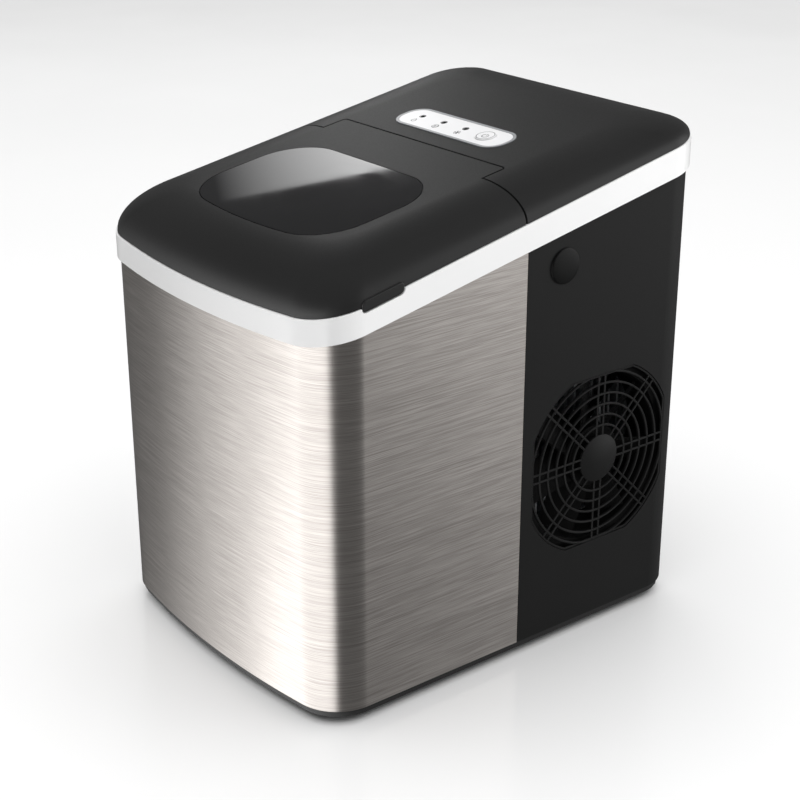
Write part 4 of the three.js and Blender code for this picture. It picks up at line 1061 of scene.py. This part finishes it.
def strokeArc(name, centre, radius, start, sweep, steps=24, width=None):
    # a flat curved stroke, from the start angle anticlockwise through the sweep
    width = width or signs["stroke"]
    x = centre[0] + radius * math.cos(start)
    y = centre[1] + radius * math.sin(start)
    stroke = startVertex(name, x, y)
    spinArc((*centre, 0), sweep, steps)
    bpy.ops.mesh.select_all(action="SELECT")
    extrudeBy(0, 0, 0)
    grow = (radius + width) / radius
    bpy.ops.transform.resize(value=(grow, grow, 1), center_override=(*centre, 0))
    mergeAll(signs["weld"])
    bpy.ops.mesh.select_all(action="SELECT")
    extrudeBy(0, 0, signs["height"])
    closeShape()
    return stroke


def strokeLine(name, start, end, width=None):
    width = width or signs["stroke"]
    run = Vector(end) - Vector(start)
    middle = (Vector(end) + Vector(start)) / 2
    clearSelection()
    bpy.ops.mesh.primitive_cube_add(size=1, location=(middle.x, middle.y, signs["height"] / 2))
    stroke = bpy.context.object
    stroke.name = name
    stroke.scale = (run.length, width, signs["height"])
    stroke.rotation_euler = (0, 0, math.atan2(run.y, run.x))
    settle(stroke)
    return stroke


def placeSign(strokes, name, lift, body="cabinet", look=None):
    sign = joined(strokes)
    sign.location = (0, 0, lift)
    settle(sign)
    onPanel(sign)
    sign.name = name
    sign.data.materials.clear()
    sign.data.materials.append(look or printInk)
    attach(sign, body)


def makeSigns():
    size = signs["size"]
    y = signs["y"]
    lift = panel["proud"] - signs["sunk"]
    dropX, cubeX, flakeX = controls["leds"]
    # the drop: a round belly and two flanks that meet at its tip
    belly = size * 0.55
    lean = math.radians(30)
    tip = (dropX, y - size * 0.2 + belly / math.sin(lean))
    centre = (dropX, y - size * 0.2)
    flank = (belly * math.cos(lean), belly * math.sin(lean))
    drop = [strokeArc("belly", centre, belly, math.pi - lean, math.pi + 2 * lean)]
    for side in (-1, 1):
        foot = (centre[0] + side * flank[0] * 1.12, centre[1] + flank[1] * 1.12)
        drop.append(strokeLine("flank", foot, tip))
    placeSign(drop, "signWater", lift)
    # the cube, seen from a corner: a hexagon and the three edges inside it
    corners = []
    for i in range(6):
        turn = math.pi / 2 + i * math.pi / 3
        corners.append((cubeX + size * math.cos(turn), y + size * math.sin(turn)))
    cube = [strokeLine("edge", corners[i], corners[(i + 1) % 6]) for i in range(6)]
    cube += [strokeLine("edge", (cubeX, y), corners[i]) for i in (1, 3, 5)]
    placeSign(cube, "signCube", lift)
    # the snowflake: three bars with a small fork near each end
    flake = []
    for i in range(6):
        turn = i * math.pi / 3
        end = (flakeX + size * math.cos(turn), y + size * math.sin(turn))
        fork = (flakeX + 0.6 * size * math.cos(turn), y + 0.6 * size * math.sin(turn))
        flake.append(strokeLine("arm", (flakeX, y), end))
        for side in (-1, 1):
            bend = turn + side * math.radians(40)
            branch = (fork[0] + 0.38 * size * math.cos(bend), fork[1] + 0.38 * size * math.sin(bend))
            flake.append(strokeLine("branch", fork, branch, signs["stroke"] * 0.8))
    placeSign(flake, "signFreezing", lift)
    # a black ring round each lens, so that the light does not spill
    for i, ledX in enumerate(controls["leds"]):
        inner = controls["ledRadius"] + controls["gap"]
        circle = strokeArc("lensRing", (ledX, controls["ledY"]), inner, 0, 2 * math.pi, 32, signs["lensRing"])
        placeSign([circle], f"lensRing{i + 1}", lift, look=looks["lens_dark"])
    # on the button, a ring along its lip and the power sign: an open circle and a bar
    x = controls["buttonX"]
    radius = controls["buttonRadius"] - signs["ringInset"]
    ring = strokeArc("ring", (x, 0), radius, 0, 2 * math.pi, 64, signs["ring"])
    placeSign([ring], "buttonRing", panel["proud"] + signs["ringLift"], "power_button")
    opening = math.radians(signs["powerGap"])
    power = [
        strokeArc("open", (x, -0.3 * mm), size * 0.8, math.pi / 2 + opening, 2 * (math.pi - opening), 32),
        strokeLine("bar", (x, size * 0.2), (x, size * 1.0)),
    ]
    placeSign(power, "signPower", panel["proud"] + signs["powerLift"], "power_button")


makePanel()
makeSigns()

print("feet")


def makeFeet():
    # one foot is turned at the middle and copied to its four places
    low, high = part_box("foot_front_left")
    r = (high.x - low.x) / 2
    h = high.z - low.z
    profile = [
        (0, 0), (r * 0.8, 0), (r * 0.9, 0.2 * mm), (r * 0.96, 0.6 * mm), (r, 1.4 * mm), (r, h * 0.6),
        (r * 0.93, h * 0.72), (r * 0.93, h), (0, h),
    ]
    pattern = turnedPiece("foot", profile, "z", (0, 0, 0), 48)
    for row in ("front", "rear"):
        for side in ("left", "right"):
            node = f"foot_{row}_{side}"
            low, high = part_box(node)
            foot = pattern.copy()
            foot.data = pattern.data.copy()
            bpy.context.scene.collection.objects.link(foot)
            foot.location = ((low.x + high.x) / 2, (low.y + high.y) / 2, 0)
            finishPiece(foot, f"rubberFoot{row.capitalize()}{side.capitalize()}", node, angle=60)
    mesh = pattern.data
    bpy.data.objects.remove(pattern)
    bpy.data.meshes.remove(mesh)


makeFeet()

print("inner pieces")


easing = {"angle": 40, "segments": 2, "flat": 2.0, "weld": 0.005 * mm}


def refine(node, name, edge):
    # a merged copy of the CAD node whose sharp edges are eased
    clearSelection()
    source = frame["nodes"][node]
    copy = source.copy()
    copy.data = source.data.copy()
    copy.parent = None
    for key in list(copy.keys()):
        del copy[key]
    bpy.context.scene.collection.objects.link(copy)
    makeActive(copy)
    bpy.ops.object.mode_set(mode="EDIT")
    mergeAll(easing["weld"])
    bpy.ops.mesh.dissolve_limited(angle_limit=math.radians(easing["flat"]))
    bpy.ops.object.mode_set(mode="OBJECT")
    if edge:
        roundEdges(copy, edge, easing["segments"], easing["angle"])
    finishPiece(copy, name, node, angle=easing["angle"])


# inner pieces: CAD node, the piece's name, and how far its edges are rounded, in millimetres
eased = {
    "base_pan": ("basePan", 0.6),
    "inner_tub": ("innerTub", 0.8),
    "ice_basket": ("iceBasket", 0.5),
    "water_tray": ("waterTray", 0.5),
    "ice_pusher": ("icePusher", 0.4),
    "evaporator": ("evaporatorPlate", 0.5),
    "ice_sensor_emitter": ("sensorEmitter", 0.4),
    "ice_sensor_receiver": ("sensorReceiver", 0.4),
    "tilt_gearmotor": ("tiltGearmotor", 0.8),
    "water_pump": ("waterPump", 0.8),
    "drain_cap": ("drainCap", 0.5),
    "drain_seal": ("drainSeal", 0.3),
    "compressor": ("compressorCan", 0.0),
    "condenser": ("condenserBlock", 0.2),
    "fan_frame": ("fanFrame", 0.5),
    "fan_rotor": ("fanRotor", 0.4),
    "filter_drier": ("filterDrier", 0.3),
    "hot_gas_valve": ("hotGasValve", 0.5),
    "power_board": ("powerBoard", 0.2),
    "display_board": ("displayBoard", 0.15),
    "mains_inlet": ("mainsInlet", 0.25),
    "rating_plate": ("ratingPlate", 0.12),
    "tray_shaft": ("trayShaft", 0.4),
    "pusher_shaft": ("pusherShaft", 0.3),
    "hinge_pin_left": ("hingePinLeft", 0.3),
    "hinge_pin_right": ("hingePinRight", 0.3),
}
for node, (name, edge) in eased.items():
    refine(node, name, edge * mm)
for i in range(1, 4):
    refine(f"compressor_grommet_{i}", f"compressorGrommet{i}", 0.3 * mm)
# pipes and hose are already round, so they keep the CAD shape
for node in ("pump_hose", "discharge_pipe", "capillary_pipe", "suction_pipe"):
    obj = frame["nodes"][node]
    obj.data.materials.clear()
    obj.data.materials.append(looks[slotOf[node]])
for row in ("lower", "upper"):
    for side in ("left", "right"):
        refine(f"rear_screw_{row}_{side}", f"rearScrew{row.capitalize()}{side.capitalize()}", 0.2 * mm)

print("floor")
floorSet = {"size": 40, "colour": "#f6f6f6", "roughness": (0.14, 0.2)}


def makeFloor():
    clearSelection()
    bpy.ops.mesh.primitive_plane_add(size=floorSet["size"], location=(0, 0, 0))
    floor = bpy.context.object
    floor.name = "studioFloor"
    # painted studio board: white, with a soft broad sheen
    material, shader = newMaterial("paintedBoard", floorSet["colour"], 0.16, Specular_IOR_Level=0.7)
    place = addNode(material, "ShaderNodeTexCoord")
    noise = addNode(material, "ShaderNodeTexNoise", {"Scale": 3.0, "Detail": 4.0}, Vector=(place, "Object"))
    low, high = floorSet["roughness"]
    sheen = {"From Min": 0.3, "From Max": 0.7, "To Min": low, "To Max": high}
    rough = addNode(material, "ShaderNodeMapRange", sheen, Value=(noise, "Fac"))
    plug(material, shader, {"Roughness": (rough, "Result")})
    floor.data.materials.append(material)
    # the upright walls mirror what lies below the floor's level, so the mirror banks reach down past it
    floor.visible_glossy = False
    floor.visible_shadow = False
    # and the banks that reach below it leave the floor out, or it would show them as hard-edged patches
    spared = bpy.data.collections.new("sparedFloor")
    spared.objects.link(floor)
    for name, bank in banks.items():
        if bank.get("only") == "mirror" or bank.get("sparesFloor"):
            bpy.data.objects[name].light_linking.receiver_collection = spared
    spared.collection_objects[0].light_linking.link_state = "EXCLUDE"


makeFloor()
